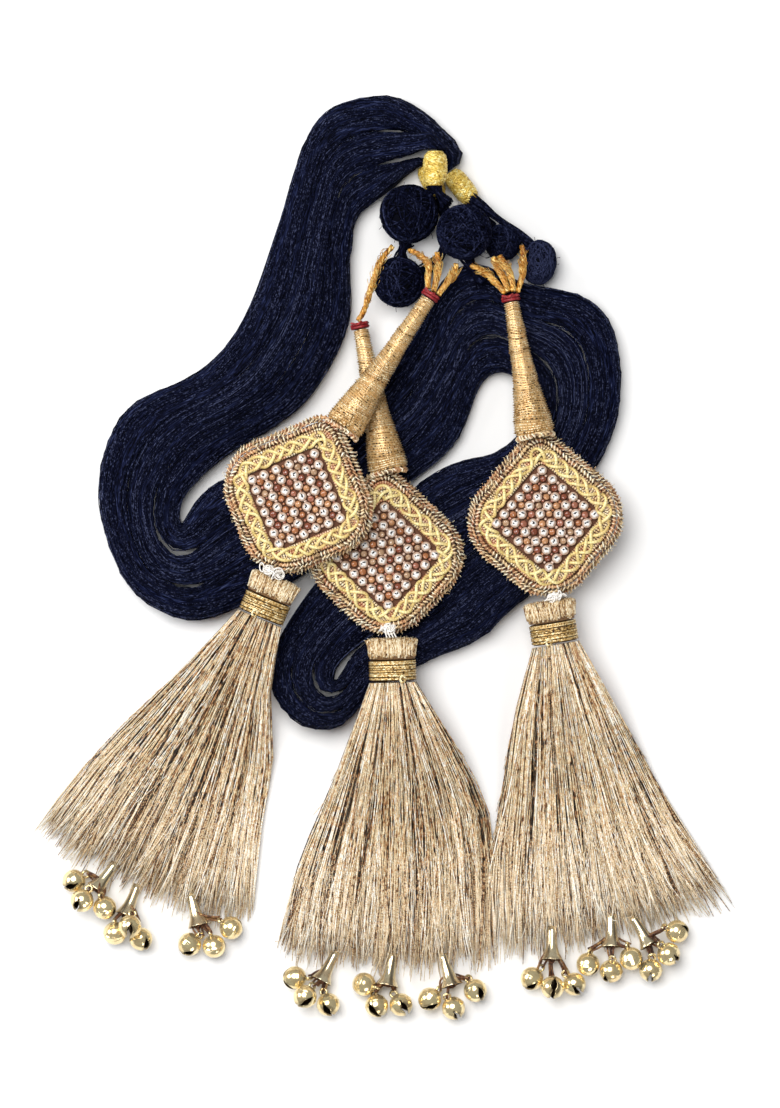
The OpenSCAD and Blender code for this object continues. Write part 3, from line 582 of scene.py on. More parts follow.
# A rounded section from its one foot over the top to the other, by shares of its length:
# across runs from -1 to 1 and up from 0 to 1, and the slimness is half its width over its height.
def sectionTable(foot, power, slimness):
    angle = np.linspace(math.pi + foot, -foot, 500)
    c, s = np.cos(angle), np.sin(angle)
    across = np.sign(c) * abs(c) ** (2 / power)
    up = 0.5 + 0.5 * np.sign(s) * abs(s) ** (2 / power)
    length = np.concatenate([[0], np.cumsum(np.hypot(np.diff(across) * slimness, np.diff(up)))])
    return length / length[-1], across, up


ownSection = sectionTable(0.7, 2.2, 0.5)
bandSection = sectionTable(0.65, 2.7, 1.45)


# The joined skeins share one rounded outline, so a thread has a place in its own oval and one in the shared one.
def skeinPlace(k, share, depth, joined):
    ownAcross, ownUp = (np.interp(share, ownSection[0], column) for column in ownSection[1:])
    first, last = np.interp([-1 / 3, 1 / 3], bandSection[1], bandSection[0])
    bounds = (0.0, first, last, 1.0)
    bandShare = bounds[k] + (bounds[k + 1] - bounds[k]) * share
    bandAcross, bandUp = (np.interp(bandShare, bandSection[0], column) for column in bandSection[1:])
    bandAcross = 3 * (bandAcross + 1) - 2 * k - 1
    across = ownAcross + (bandAcross - ownAcross) * joined
    up = ownUp + (bandUp - ownUp) * joined
    return across * (0.6 + 0.4 * depth), 0.5 + (up - 0.5) * depth


def skeinPoints(rows, across, up):
    a, b = rows[:, 0:2], rows[:, 2:4]
    flat = (a + b) / 2 + (b - a) / 2 * across[..., None]
    height = np.maximum(rows[:, 4], 0) + rows[:, 5] * up
    return np.concatenate([flat, np.maximum(height, 0.0003)[..., None]], -1)


def addSkein(k):
    look = skeinThreads
    rng = np.random.default_rng(look["seed"] + k)
    rows, places = skeinRows(k)
    joined = rows[:, 6]
    paths, tones = [], []
    for full, depth in look["layers"]:
        count = round(full * look["fill"][k])
        for i in range(count):
            share = np.clip((i + 0.5 + rng.uniform(-0.45, 0.45)) / count, 0.0, 1.0)
            sway = sum(rng.uniform(0.3, 1) * np.sin(places / rng.uniform(*span) + rng.uniform(0, 7))
                       for span in ((0.0011, 0.0022), (0.003, 0.006), (0.008, 0.02)))
            lift = sum(rng.uniform(0.3, 1) * np.sin(places / rng.uniform(*span) + rng.uniform(0, 7))
                       for span in ((0.0012, 0.0025), (0.004, 0.012)))
            drift = 0.012 * np.sin(places / rng.uniform(0.03, 0.06) + rng.uniform(0, 7))
            across, up = skeinPlace(k, np.clip(share + drift, 0, 1), depth, joined)
            fold = (k + share) / 3 * look["grooves"]
            fold = fold + 0.5 * np.sin(places / 0.045 + 1.3 * k) + 0.35 * np.sin(places / 0.017)
            groove = look["grooveDepth"] * (0.5 + 0.5 * np.cos(2 * np.pi * fold)) ** 3
            width = np.linalg.norm(rows[:, 2:4] - rows[:, 0:2], axis=1) / 2
            across = across + look["wander"] * sway / width
            up = up * (1 - groove * (up > 0.5)) + look["wander"] * 0.6 * lift / rows[:, 5]
            paths.append(skeinPoints(rows, across, np.clip(up, 0.02, 1.04)))
            # Painted light in the tone: threads near the outer edges of the band are lighter as a painted sheen, and
            # threads of the lower layer and in the grooves are darker as painted shade.
            edge = np.clip((abs(2 * (k + share) / 3 - 1) - 0.75) / 0.25, 0, 1)
            tones.append(np.clip(rng.normal(0.42, 0.11), 0.05, 0.95) + 0.14 * edge - 0.8 * (1 - depth) - 1.2 * groove)
    shapes = [tubes(paths, look["radius"], 3, tone=np.clip(tones, 0, 1))]
    coreShares = np.linspace(0.02, 0.98, look["coreLines"])
    top = [skeinPlace(k, s, look["core"], joined) for s in coreShares]
    under = [(np.full(len(rows), a), np.full(len(rows), 0.06)) for a in (0.6, 0.0, -0.6)]
    reach = 1.14 - 0.09 * joined
    ringPoints = [skeinPoints(rows, a * reach, u) for a, u in top + under]
    fill = skin(np.stack(ringPoints, 1))
    across = np.concatenate([coreShares, [1.1, 1.2, 1.3]]) + 2 * k
    fill = {**fill, "tone": np.append(np.tile(across, len(rows)), [0.5, 0.5]),
            "along": np.append(np.repeat(places, len(ringPoints)), [0.0, places[-1]])}
    addPiece("skein_fill_" + skeinNames[k], [fill], "skein fill")
    shapes.append(skeinStrays(k, rows, places, rng))
    return addPiece("skein_threads_" + skeinNames[k], shapes, "black thread",
                    ["skein_" + skeinNames[k]])


skeinStray = {"length": (0.025, 0.075), "bow": (0.0001, 0.0009), "radius": 0.00014, "points": 16}


# Loose threads that bow out of the outer edges, painted paler than the skein as highlights.
def skeinStrays(k, rows, places, rng):
    look, points = skeinStray, skeinStray["points"]
    paths = []
    for _ in range(skeinThreads["strays"]):
        start = rng.uniform(0.02, places[-1] - 0.12)
        length = rng.uniform(*look["length"])
        here = start + length * np.linspace(0, 1, points)
        at = np.stack([np.interp(here, places, rows[:, c]) for c in range(7)], 1)
        edge = -1 if k == 0 else 1 if k == 2 else rng.choice([-1, 1])
        bow = np.sin(np.pi * np.linspace(0, 1, points)) ** 1.5
        out = rng.uniform(*look["bow"]) * bow if k != 1 else np.zeros(points)
        width = np.linalg.norm(at[:, 2:4] - at[:, 0:2], axis=1) / 2
        across = edge * (0.97 + out / width) if k != 1 else np.full(points, rng.uniform(-1, 1))
        up = np.full(points, rng.uniform(0.3, 0.75)) if k != 1 else np.full(points, 1.02)
        paths.append(skeinPoints(at, across, up))
    # The strays' paler tone is a painted highlight.
    return tubes(paths, look["radius"], 3, tone=rng.uniform(0.5, 0.8, len(paths)))


# Wound balls, netted collars and twisted gold cords.
balls = [
    [0.0075, 0.1026, 0.009, 0.018, 0.018, 0], [0.024, 0.0969, 0.0138, 0.017, 0.017, 0],
    [0.0357, 0.0942, 0.0057, 0.0114, 0.0114, 0], [0.0465, 0.0882, 0.0055, 0.014, 0.011, 84],
    [0.0045, 0.0822, 0.0078, 0.0156, 0.0156, 0]]
ballThread = {"windings": 76, "points": 27, "radius": 0.00026, "bristles": 44, "seed": 20}


def randomTurns(rng, count):
    q = rng.normal(size=(count, 4))
    w, x, y, z = (q / np.linalg.norm(q, axis=1)[:, None]).T
    return np.stack([np.stack([1 - 2 * (y * y + z * z), 2 * (x * y - z * w), 2 * (x * z + y * w)], -1),
                     np.stack([2 * (x * y + z * w), 1 - 2 * (x * x + z * z), 2 * (y * z - x * w)], -1),
                     np.stack([2 * (x * z - y * w), 2 * (y * z + x * w), 1 - 2 * (x * x + y * y)], -1)], 1)


def addBall(i):
    look = ballThread
    rng = np.random.default_rng(look["seed"] + i)
    x, y, z, length, across, turn = balls[i]
    half = np.array([length, across, across]) / 2 - look["radius"]
    c, s = math.cos(math.radians(turn)), math.sin(math.radians(turn))
    stand = np.array([[c, -s, 0], [s, c, 0], [0, 0, 1]])
    a = np.linspace(0, 2 * np.pi, look["points"])
    bow = rng.uniform(-0.55, 0.55, look["windings"])[:, None]
    circle = np.stack([np.cos(a) * np.sqrt(1 - bow ** 2), np.sin(a) * np.sqrt(1 - bow ** 2), bow + 0 * a], -1)
    circle = np.einsum("nij,nmj->nmi", randomTurns(rng, look["windings"]), circle)
    depth = 1 - rng.uniform(0.0, 0.07, look["windings"])[:, None, None]
    normal = unit(circle / half) @ stand.T
    paths = (circle * half * depth) @ stand.T + (x, y, z)
    paleness = (0.0, 0.08, 0.05, 0.34, 0.0)[i]
    shapes = [tubes(paths, look["radius"], 3, normal,
                    np.clip(rng.normal(0.4 + paleness, 0.16, look["windings"]), 0, 1))]
    t = np.linspace(0.02, math.pi - 0.02, 14)
    rings = np.array([[(math.cos(v), math.sin(v) * math.cos(w), math.sin(v) * math.sin(w))
                       for w in 2 * np.pi * np.arange(20) / 20] for v in t])
    # The core under the windings is painted darker than them, as shade in the gaps between the windings.
    shapes.append(skin(rings[:, ::-1] * half * 0.94 @ stand.T + (x, y, z), 0.1))
    tips = unit(rng.normal(size=(look["bristles"], 3)))
    bend = rng.normal(size=tips.shape) * 0.0006
    reach = rng.uniform(0.0004, 0.0014, look["bristles"])[:, None]
    steps = np.linspace(0, 1, 4)[None, :, None]
    hairs = (tips * half * 0.97)[:, None] + tips[:, None] * reach[:, None] * steps + bend[:, None] * steps ** 2
    hairs = hairs @ stand.T + (x, y, z)
    hairs[..., 2] = np.maximum(hairs[..., 2], 0.0002)
    shapes.append(tubes(hairs, 0.00009, 3, unit(rng.normal(size=hairs.shape)), 0.6))
    return addPiece(f"wound_ball_{i + 1}", shapes, "ball thread", [f"ball_{i + 1}"])


collars = [
    [0.0153, 0.116, 0.013, 0.0108, 0.0075, -90], [0.0233, 0.111, 0.0036, 0.0115, 0.0068, -52],
    [0.0143, 0.1125, 0.0033, 0.011, 0.0062, -62]]
collarNet = {"threads": 12, "turns": 1.5, "radius": 0.00037, "swell": 3.4, "seed": 31}


def addCollar(i):
    look = collarNet
    x, y, z, length, across, turn = collars[i]
    run = np.array([math.cos(math.radians(turn)), math.sin(math.radians(turn)), 0])
    side, up = np.array([-run[1], run[0], 0]), np.array([0, 0, 1.0])
    t = np.linspace(-1, 1, 26)
    profile = np.maximum(0.3, (1 - abs(t) ** look["swell"]) ** (1 / look["swell"])) * (across / 2 - look["radius"])
    paths, normals = [], []
    for way in (-1, 1):
        for j in range(look["threads"]):
            a = 2 * np.pi * (j / look["threads"] + way * look["turns"] * t / 2)
            weave = way * 0.00016 * np.sin(look["threads"] * look["turns"] * np.pi * (t + 1))
            normal = side * np.cos(a)[:, None] + up * np.sin(a)[:, None]
            paths.append((x, y, z) + run * (t * (length / 2 - 0.0004))[:, None] + normal * (profile + weave)[:, None])
            normals.append(normal)
    rng = np.random.default_rng(look["seed"] + i)
    shapes = [tubes(paths, look["radius"], 5, np.array(normals), rng.uniform(0.35, 0.75, len(paths)), 0.7)]
    a = np.linspace(0, 2 * np.pi, 24)
    for end in (-1, 1):
        for inner in (0.42, 0.62):
            ring = side * np.cos(a)[:, None] + up * np.sin(a)[:, None]
            place = np.array([x, y, z]) + run * end * (length / 2 - 0.0006)
            shapes.append(tubes(place + ring * inner * across / 2 * 0.9, 0.00045, 5, ring, rng.uniform(0.3, 0.6)))
    rows = [(0.5 + 0.5 * v, max(0.25, (1 - abs(v) ** look["swell"]) ** (1 / look["swell"])) * across * 0.42)
            for v in np.linspace(-0.94, 0.94, 12)]
    ends = (np.array([x, y, z]) - run * length / 2, np.array([x, y, z]) + run * length / 2)
    # The skin inside the net is painted dark brown, as shade in the net's openings.
    shapes.append(skin(turnedRings(*ends, rows, 18), 0.02))
    return addPiece(f"netted_collar_{i + 1}", shapes, "gold net", [f"collar_{i + 1}"])


# Bundles of black thread: points of their middle line, and their width.
necks = [
    ([[0.0150, 0.1115, 0.0125], [0.0165, 0.1085, 0.0130], [0.0190, 0.1050, 0.0140]], 0.0026),
    ([[0.0150, 0.1115, 0.0115], [0.0135, 0.1090, 0.0110], [0.0115, 0.1070, 0.0100]], 0.0024),
    ([[0.0250, 0.1082, 0.0040], [0.0285, 0.1040, 0.0045], [0.0320, 0.0985, 0.0050]], 0.0024),
    ([[0.0262, 0.1075, 0.0050], [0.0320, 0.1030, 0.0070], [0.0410, 0.0960, 0.0060], [0.0450, 0.0925, 0.0050]],
     0.0016),
    ([[0.0165, 0.1085, 0.0040], [0.0190, 0.1000, 0.0040], [0.0170, 0.0900, 0.0040], [0.0110, 0.0850, 0.0055]],
     0.0022),
    ([[0.0070, 0.0945, 0.0070], [0.0055, 0.0915, 0.0075], [0.0050, 0.0885, 0.0085]], 0.0024),
    ([[0.0240, 0.0900, 0.0100], [0.0270, 0.0860, 0.0095], [0.0300, 0.0820, 0.0100]], 0.0026)]
neckThread = {"threads": 22, "radius": 0.00026, "seed": 35}


def addNecks():
    look = neckThread
    rng = np.random.default_rng(look["seed"])
    shapes = []
    for route, width in necks:
        line, places = evenRows(smoothRows(route, 6), 0.0011)
        run = unit(np.gradient(line, axis=0))
        side = unit(np.cross(run, (0, 0, 1)))
        up = np.cross(side, run)
        share = places / places[-1]
        paths = []
        for i in range(look["threads"]):
            a = 2 * np.pi * i / look["threads"] + 0.8 * share
            size = width * rng.uniform(0.5, 1.0) * (0.75 + 0.25 * np.cos(2 * np.pi * share))
            size = size + 0.0002 * np.sin(9 * share + rng.uniform(0, 7))
            path = line + side * (np.cos(a) * size)[:, None] + up * (np.sin(a) * size)[:, None]
            path[:, 2] = np.maximum(path[:, 2], look["radius"])
            paths.append(path)
        shapes.append(tubes(np.array(paths), look["radius"], 4, tone=rng.uniform(0.2, 0.55, len(paths))))
    return addPiece("black_necks", shapes, "ball thread")


# Points of the gold cords, from each stem's tie up to what they come from.
cordRoutes = [
    [[[0.0132, 0.08, 0.0159], [0.0132, 0.083, 0.016], [0.0133, 0.087, 0.0144], [0.0108, 0.0899, 0.0116],
      [0.0076, 0.0917, 0.0088]],
     [[0.0148, 0.079, 0.0156], [0.0157, 0.0827, 0.0154], [0.0163, 0.087, 0.0142], [0.0158, 0.0908, 0.0134]],
     [[0.0163, 0.0781, 0.0154], [0.0186, 0.0814, 0.015], [0.021, 0.0848, 0.0142], [0.0216, 0.0874, 0.0138]]],
    [[[-0.0078, 0.0706, 0.0088], [-0.0058, 0.074, 0.0096], [-0.0037, 0.0807, 0.012], [-0.0018, 0.0866, 0.0124],
      [0.0002, 0.0902, 0.0106], [0.0026, 0.0928, 0.0092]]],
    [[[0.0363, 0.0786, 0.0122], [0.0324, 0.0831, 0.0116], [0.0291, 0.0855, 0.011], [0.026, 0.0871, 0.0108]],
     [[0.0373, 0.0792, 0.0129], [0.0346, 0.086, 0.0126], [0.0326, 0.0894, 0.013]],
     [[0.0387, 0.0792, 0.0129], [0.038, 0.0838, 0.0126], [0.0359, 0.0876, 0.0128], [0.0346, 0.0899, 0.0127]],
     [[0.0399, 0.0791, 0.0122], [0.0414, 0.084, 0.0106], [0.0416, 0.088, 0.0108], [0.0414, 0.093, 0.009]]]]
pendants = ["left", "middle", "right"]
goldCord = {
    "radius": 0.00092, "ply": 0.00050, "pitch": 0.0050, "spacing": 0.0006, "frays": 34, "fray": 0.0001,
    "frayPoints": 14, "seed": 40}


def addCords(k):
    look = goldCord
    rng = np.random.default_rng(look["seed"] + k)
    shapes = []
    for route in cordRoutes[k]:
        line, places = evenRows(smoothRows(route, 8), look["spacing"])
        run = unit(np.gradient(line, axis=0))
        side = unit(np.cross(run, (0.2, 0.1, 1)))
        up = np.cross(side, run)
        for ply in range(3):
            a = 2 * np.pi * (places / look["pitch"] + ply / 3)
            out = side * np.cos(a)[:, None] + up * np.sin(a)[:, None]
            shapes.append(tubes(line + out * (look["radius"] - look["ply"]), look["ply"], 6, out,
                                rng.uniform(0.35, 0.65)))
        for _ in range(look["frays"]):
            first = rng.integers(0, max(1, len(line) - look["frayPoints"]))
            part = slice(first, first + look["frayPoints"])
            a = 2 * np.pi * places[part] / rng.uniform(0.006, 0.02) + rng.uniform(0, 7)
            out = side[part] * np.cos(a)[:, None] + up[part] * np.sin(a)[:, None]
            grown = np.linspace(0, 1, look["frayPoints"])[: len(a)] ** 2
            away = look["radius"] * (0.85 + rng.uniform(0.1, 1.3) * grown)
            shapes.append(tubes(line[part] + out * away[:, None], look["fray"], 3, out, rng.uniform(0.4, 0.95)))
    return addPiece("gold_cords_" + pendants[k], shapes, "gold cord", ["cords_" + pendants[k]])


# Stems wound with gold thread, and their red ties.
stems = [
    [[0.0132, 0.0768, 0.0159], [-0.0125, 0.0379, 0.0213]],
    [[-0.007, 0.0678, 0.0088], [0.0014, 0.0252, 0.0143]],
    [[0.0381, 0.0759, 0.0124], [0.0452, 0.036, 0.0168]]]
# Share of a stem's length and its radius there.
stemOutline = [[0, 0.0024], [0.1, 0.0026], [0.25, 0.003], [0.4, 0.00335], [0.5, 0.00365], [0.62, 0.0042],
               [0.75, 0.0051], [0.88, 0.0059], [0.97, 0.0063], [1, 0.0059]]
stemWinding = {"pitch": 0.00074, "thread": 0.00031, "steps": 18, "slant": 0.0010, "slope": 0.009,
               "darkRings": ((0.255, 0.265), (0.603, 0.611)), "seed": 50}
stemTie = {"radius": 0.0029, "length": 0.0018, "thread": 0.00048, "turns": 2, "gap": 0.0003}


def frameAlong(start, end):
    start, end = np.asarray(start, float), np.asarray(end, float)
    run = unit(end - start)
    side = unit(np.cross(run, (0, 0, 1)))
    return start, run, side, np.cross(side, run), np.linalg.norm(end - start)


# A place on a stem by its share of length and angle: the base slopes down on top where it is sewn to the medallion.
def stemPoints(k, share, angle, inset):
    tip, run, side, up, length = frameAlong(*stems[k])
    radius = np.interp(share, *zip(*stemOutline)) - inset
    left = (1 - share) * length
    slope = np.clip(1 - left / stemWinding["slope"], 0, 1) ** 1.6
    round = np.clip(1 - left / 0.0022, 0, 1.4) ** 2
    high = np.where(np.sin(angle) > 0, 1 - 0.55 * slope, 1.0) * np.sin(angle)
    wide = (1 - 0.14 * round) * np.cos(angle)
    return tip + run * (share * length)[:, None] + side * (wide * radius)[:, None] + up * (high * radius)[:, None]


def addStem(k):
    look = stemWinding
    rng = np.random.default_rng(look["seed"] + k)
    _, _, side, up, length = frameAlong(*stems[k])
    turns = int(length / look["pitch"])
    a = np.arange(turns * look["steps"] + 1) / look["steps"]
    share = a / turns
    wobble = 0.00009 * np.interp(a, np.arange(turns + 1), rng.normal(size=turns + 1))
    angle = 2 * np.pi * a
    out = side * np.cos(angle)[:, None] + up * np.sin(angle)[:, None]
    slant = look["slant"] * np.sin(angle) * np.sin(np.pi * share) + 0.0003 * np.sin(2 * angle + a / 3)
    place = np.clip(share * length + slant, 0.0003, length - 0.0002) / length
    path = stemPoints(k, place, angle, look["thread"] - wobble)
    tone = np.interp(a, np.arange(turns + 1), rng.uniform(0.30, 0.88, turns + 1)) - 0.04 * share ** 2
    for first, last in look["darkRings"]:
        tone = np.where((share > first) & (share < last), 0.08, tone)
    shapes = [tubes(path, look["thread"], 3, out, tone[None])]
    # The skin under the winding is painted nearly black, as shade in the lines between the turns.
    around = -2 * np.pi * np.arange(24) / 24
    rings = [stemPoints(k, np.full(24, min(s, 1 - 0.0006 / length)), around, 0.0004)
             for s in np.linspace(0.004, 1, 24)]
    shapes.append(skin(rings, 0.08))
    return addPiece("wound_stem_" + pendants[k], shapes, "stem thread", ["stem_" + pendants[k]])


def addStemTie(k):
    look = stemTie
    tip, run, side, up, _ = frameAlong(*stems[k])
    shapes = []
    a = np.linspace(0, 2 * np.pi, 33)
    out = side * np.cos(a)[:, None] + up * np.sin(a)[:, None]
    for turn in range(look["turns"]):
        back = look["gap"] + look["thread"] + turn * (look["length"] - 2 * look["thread"]) / (look["turns"] - 1)
        lean = 0.00018 * np.sin(a + turn)
        ring = tip - run * back + run * lean[:, None] + out * (look["radius"] - look["thread"])
        shapes.append(tubes(ring, look["thread"], 6, out, 0.45 + 0.12 * turn))
    plug = [(0.0, 0.6), (0.1, 0.82), (0.9, 0.82), (1.0, 0.6)]
    start, end = tip - run * (look["gap"] + look["length"]), tip - run * look["gap"]
    shapes.append(skin(turnedRings(start, end, [(s, r * look["radius"]) for s, r in plug], 20), 0.2))
    knot = tip - run * 0.0012 + up * look["radius"] + side * 0.0006
    t = np.linspace(0, 1, 9)[:, None]
    for reach in (0.0018, -0.0014):
        tail = knot + side * reach * t + up * 0.0007 * np.sin(np.pi * t) - run * 0.0008 * t
        shapes.append(tubes(tail, 0.0003, 5, tone=0.7))
    return addPiece("red_tie_" + pendants[k], shapes, "red thread", ["stem_tie_" + pendants[k]])


# Padded medallions.
# Centre x y, underside z, turn of the hanging corner from +Y, tilt, direction that the tilt raises,
# and whether the side that lies along the medallion's own X carries six stones.
medallions = [
    [-0.0252, 0.0174, 0.0159, -22.5, 10, 45, 1], [0.0006, 0, 0.0091, 2, 0, 0, 1],
    [0.0483, 0.0111, 0.0101, 4.8, 0, 0, -1]]
medallion = {
    "side": 0.0424, "corner": 0.015, "stemCorner": 0.008, "pad": 0.0188, "padHeight": 0.005, "domeRadius": 0.2,
    "edgeCord": 0.0011, "edgeLine": 0.0201, "edgeLevel": 0.0024,
    "faceCord": 0.00095, "faceLine": 0.01805, "faceLevel": 0.0053,
    "braidOuter": 0.0169, "braidInner": 0.0123, "lay": 0.00015, "seed": 60}
stoneGrid = {"six": 0.0041, "seven": 0.00345, "diameter": 0.0031, "bead": 0.00108, "bit": 0.00048}
plait = {"waves": 9, "cord": 0.00053, "flat": 0.65, "cover": 0.0012, "rows": 6, "steps": 150}
rim = {"steps": 9, "wire": 0.00033, "edgeTurns": 122, "faceTurns": 108, "looseTurns": 92, "bristles": 120}


def medallionMatrix(k):
    x, y, z, turn, tilt, raised, _ = medallions[k]
    c, s = math.cos(math.radians(raised)), math.sin(math.radians(raised))
    m = Matrix.Translation((x, y, z)) @ Matrix.Rotation(math.radians(turn), 4, "Z")
    m = m @ Matrix.Rotation(math.radians(tilt), 4, (s, -c, 0)) @ Matrix.Rotation(math.radians(45), 4, "Z")
    return np.array(m)


def domeLevel(x, y):
    return medallion["padHeight"] - medallion["domeRadius"] + np.sqrt(medallion["domeRadius"] ** 2 - x ** 2 - y ** 2)


# Even points round a square whose four corners have their own radii, and their outward directions.
def roundedSquare(half, corners, count):
    corners = np.maximum(np.broadcast_to(np.asarray(corners, float), 4), 1e-5)
    before = np.roll(corners, 1)
    straight = 2 * half - before - corners
    ends = np.cumsum(straight + np.pi / 2 * corners)
    s = np.arange(count + 1) / count * ends[-1]
    side = np.minimum(np.searchsorted(ends, s, side="right"), 3)
    here = s - np.concatenate([[0], ends])[side]
    r, plain = corners[side], here < straight[side]
    bend = np.clip((here - straight[side]) / r, 0, np.pi / 2)
    x = np.where(plain, half, half - r + r * np.cos(bend))
    y = np.where(plain, here - half + before[side], half - r + r * np.sin(bend))
    c, n = np.cos(side * np.pi / 2), np.sin(side * np.pi / 2)
    points = np.stack([c * x - n * y, n * x + c * y], 1)
    out = np.stack([c * np.cos(bend) - n * np.sin(bend), n * np.cos(bend) + c * np.sin(bend)], 1)
    return points, out, s


# Radii of the four corners at a half width: the first corner is the one that the stem grips.
def cornersAt(half):
    m = medallion
    return np.maximum(np.array([m["stemCorner"], m["corner"], m["corner"], m["corner"]]) - m["side"] / 2 + half,
                      0.0008)


# A springy cord: fine wire wound by hand round a core that follows a line, with the directions out of it and above it.
def springCord(rng, line, out, up, radius, turns, lean):
    share = np.linspace(0, 1, len(line))

    def uneven(low, high, count):
        values = rng.uniform(low, high, count)
        return np.interp(share, np.linspace(0, 1, count), np.append(values[:-1], values[0]))
    line = line + out * uneven(-0.00026, 0.00014, 70)[:, None] + up * uneven(-0.00014, 0.00020, 60)[:, None]
    a = 2 * np.pi * share * turns + uneven(-1.1, 1.1, 90)
    away = out * np.cos(a)[:, None] + up * np.sin(a)[:, None]
    size = (radius - rim["wire"]) * uneven(0.72, 1.03, turns)
    slant = np.cross(out, up) * (lean * uneven(-0.3, 1.3, 40) * np.cos(a))[:, None]
    wire = tubes(line + away * size[:, None] + slant, rim["wire"], 3, away,
                 uneven(0.1, 1.4, 2 * turns)[None].clip(0, 1))
    # The core is painted mostly near-black as shade between the wire's turns, with real red-orange patches where blotch
    # is high.
    core = slice(0, len(line), 6)
    blotch = np.clip(uneven(-0.35, 0.35, 80), 0, 1)[core]
    return [wire, tubes(line[core], radius * 0.5, 6, tone=blotch[None])]


def rimCord(rng, half, radius, level, turns, lean):
    points, out, _ = roundedSquare(half, cornersAt(half), turns * rim["steps"])
    line = np.concatenate([points, np.full((len(points), 1), level)], 1)
    out = np.concatenate([out, np.zeros((len(out), 1))], 1)
    return springCord(rng, line, out, np.broadcast_to((0, 0, 1.0), out.shape), radius, turns, lean)


# Where the rim climbs over the end of the stem that is sewn to it.
def stemLashing(k, rng, back, radius, turns):
    a = np.linspace(-0.35, np.pi + 0.35, turns * rim["steps"])
    length = frameAlong(*stems[k])[4]
    line = stemPoints(k, np.full(len(a), 1 - back / length), a, -radius * 0.5)
    run = frameAlong(*stems[k])[1]
    out = unit(line - stemPoints(k, np.full(len(a), 1 - back / length), a, 0.003))
    return springCord(rng, line, out, np.broadcast_to(run, out.shape), radius, turns, 0.0007)


def addEdgeCords(k, matrix, rng):
    m = medallion
    shapes = rimCord(rng, m["edgeLine"], m["edgeCord"], m["edgeLevel"], rim["edgeTurns"], 0.0003)
    shapes += rimCord(rng, m["faceLine"], m["faceCord"], m["faceLevel"], rim["faceTurns"], -0.0006)
    between = (m["edgeLine"] + m["faceLine"]) / 2 + 0.0002
    shapes += rimCord(rng, between, 0.00075, (m["edgeLevel"] + m["faceLevel"]) / 2 + 0.0007, rim["looseTurns"],
                      0.0004)
    points, out, _ = roundedSquare(m["edgeLine"], cornersAt(m["edgeLine"]), 240)
    count = rim["bristles"]
    pick = rng.integers(0, 240, count)
    steps = np.linspace(0, 1, 4)[None, :, None]
    lean = np.stack([out[pick, 0], out[pick, 1], rng.uniform(-0.3, 1.2, count)], 1)
    lean = lean + rng.normal(size=(count, 3)) * 0.5
    roots = np.stack([points[pick, 0], points[pick, 1], np.full(count, m["edgeLevel"])], 1)
    fuzz = roots[:, None] + unit(lean)[:, None] * (0.0009 + rng.uniform(0.0002, 0.0009, count)[:, None, None] * steps)
    shapes.append(tubes(fuzz, 0.0001, 3, unit(rng.normal(size=fuzz.shape)), rng.uniform(0.5, 1.0, count)))
    shapes = [placed(s, matrix) for s in shapes]
    shapes += stemLashing(k, rng, -0.0003, 0.00095, 17)
    return addPiece("edge_twists_" + pendants[k], shapes, "edge twist", ["edge_cords_" + pendants[k]])


# The pad is a crowned cloth form whose sides pull in under the edge cord.
def addPad(k, matrix):
    m = medallion
    sections = [(0.02, 0.0), (0.5, 0.0), (0.93, 0.0), (0.985, 0.0007), (1.0, 0.0018), (0.985, 0.0030), (0.95, None),
                (0.85, None), (0.7, None), (0.5, None), (0.3, None), (0.12, None), (0.02, None)]
    rings = []
    for share, level in sections:
        points, _, _ = roundedSquare(m["pad"] * share, cornersAt(m["pad"]) * share, 64)
        points = points[:-1]
        z = domeLevel(points[:, 0], points[:, 1]) if level is None else np.full(64, level)
        rings.append(np.concatenate([points, z[:, None]], 1))
    pad = placed(skin(rings), matrix)
    piece = addPiece("medallion_pad_" + pendants[k], [pad], "pad cloth", ["pad_" + pendants[k]])
    return piece


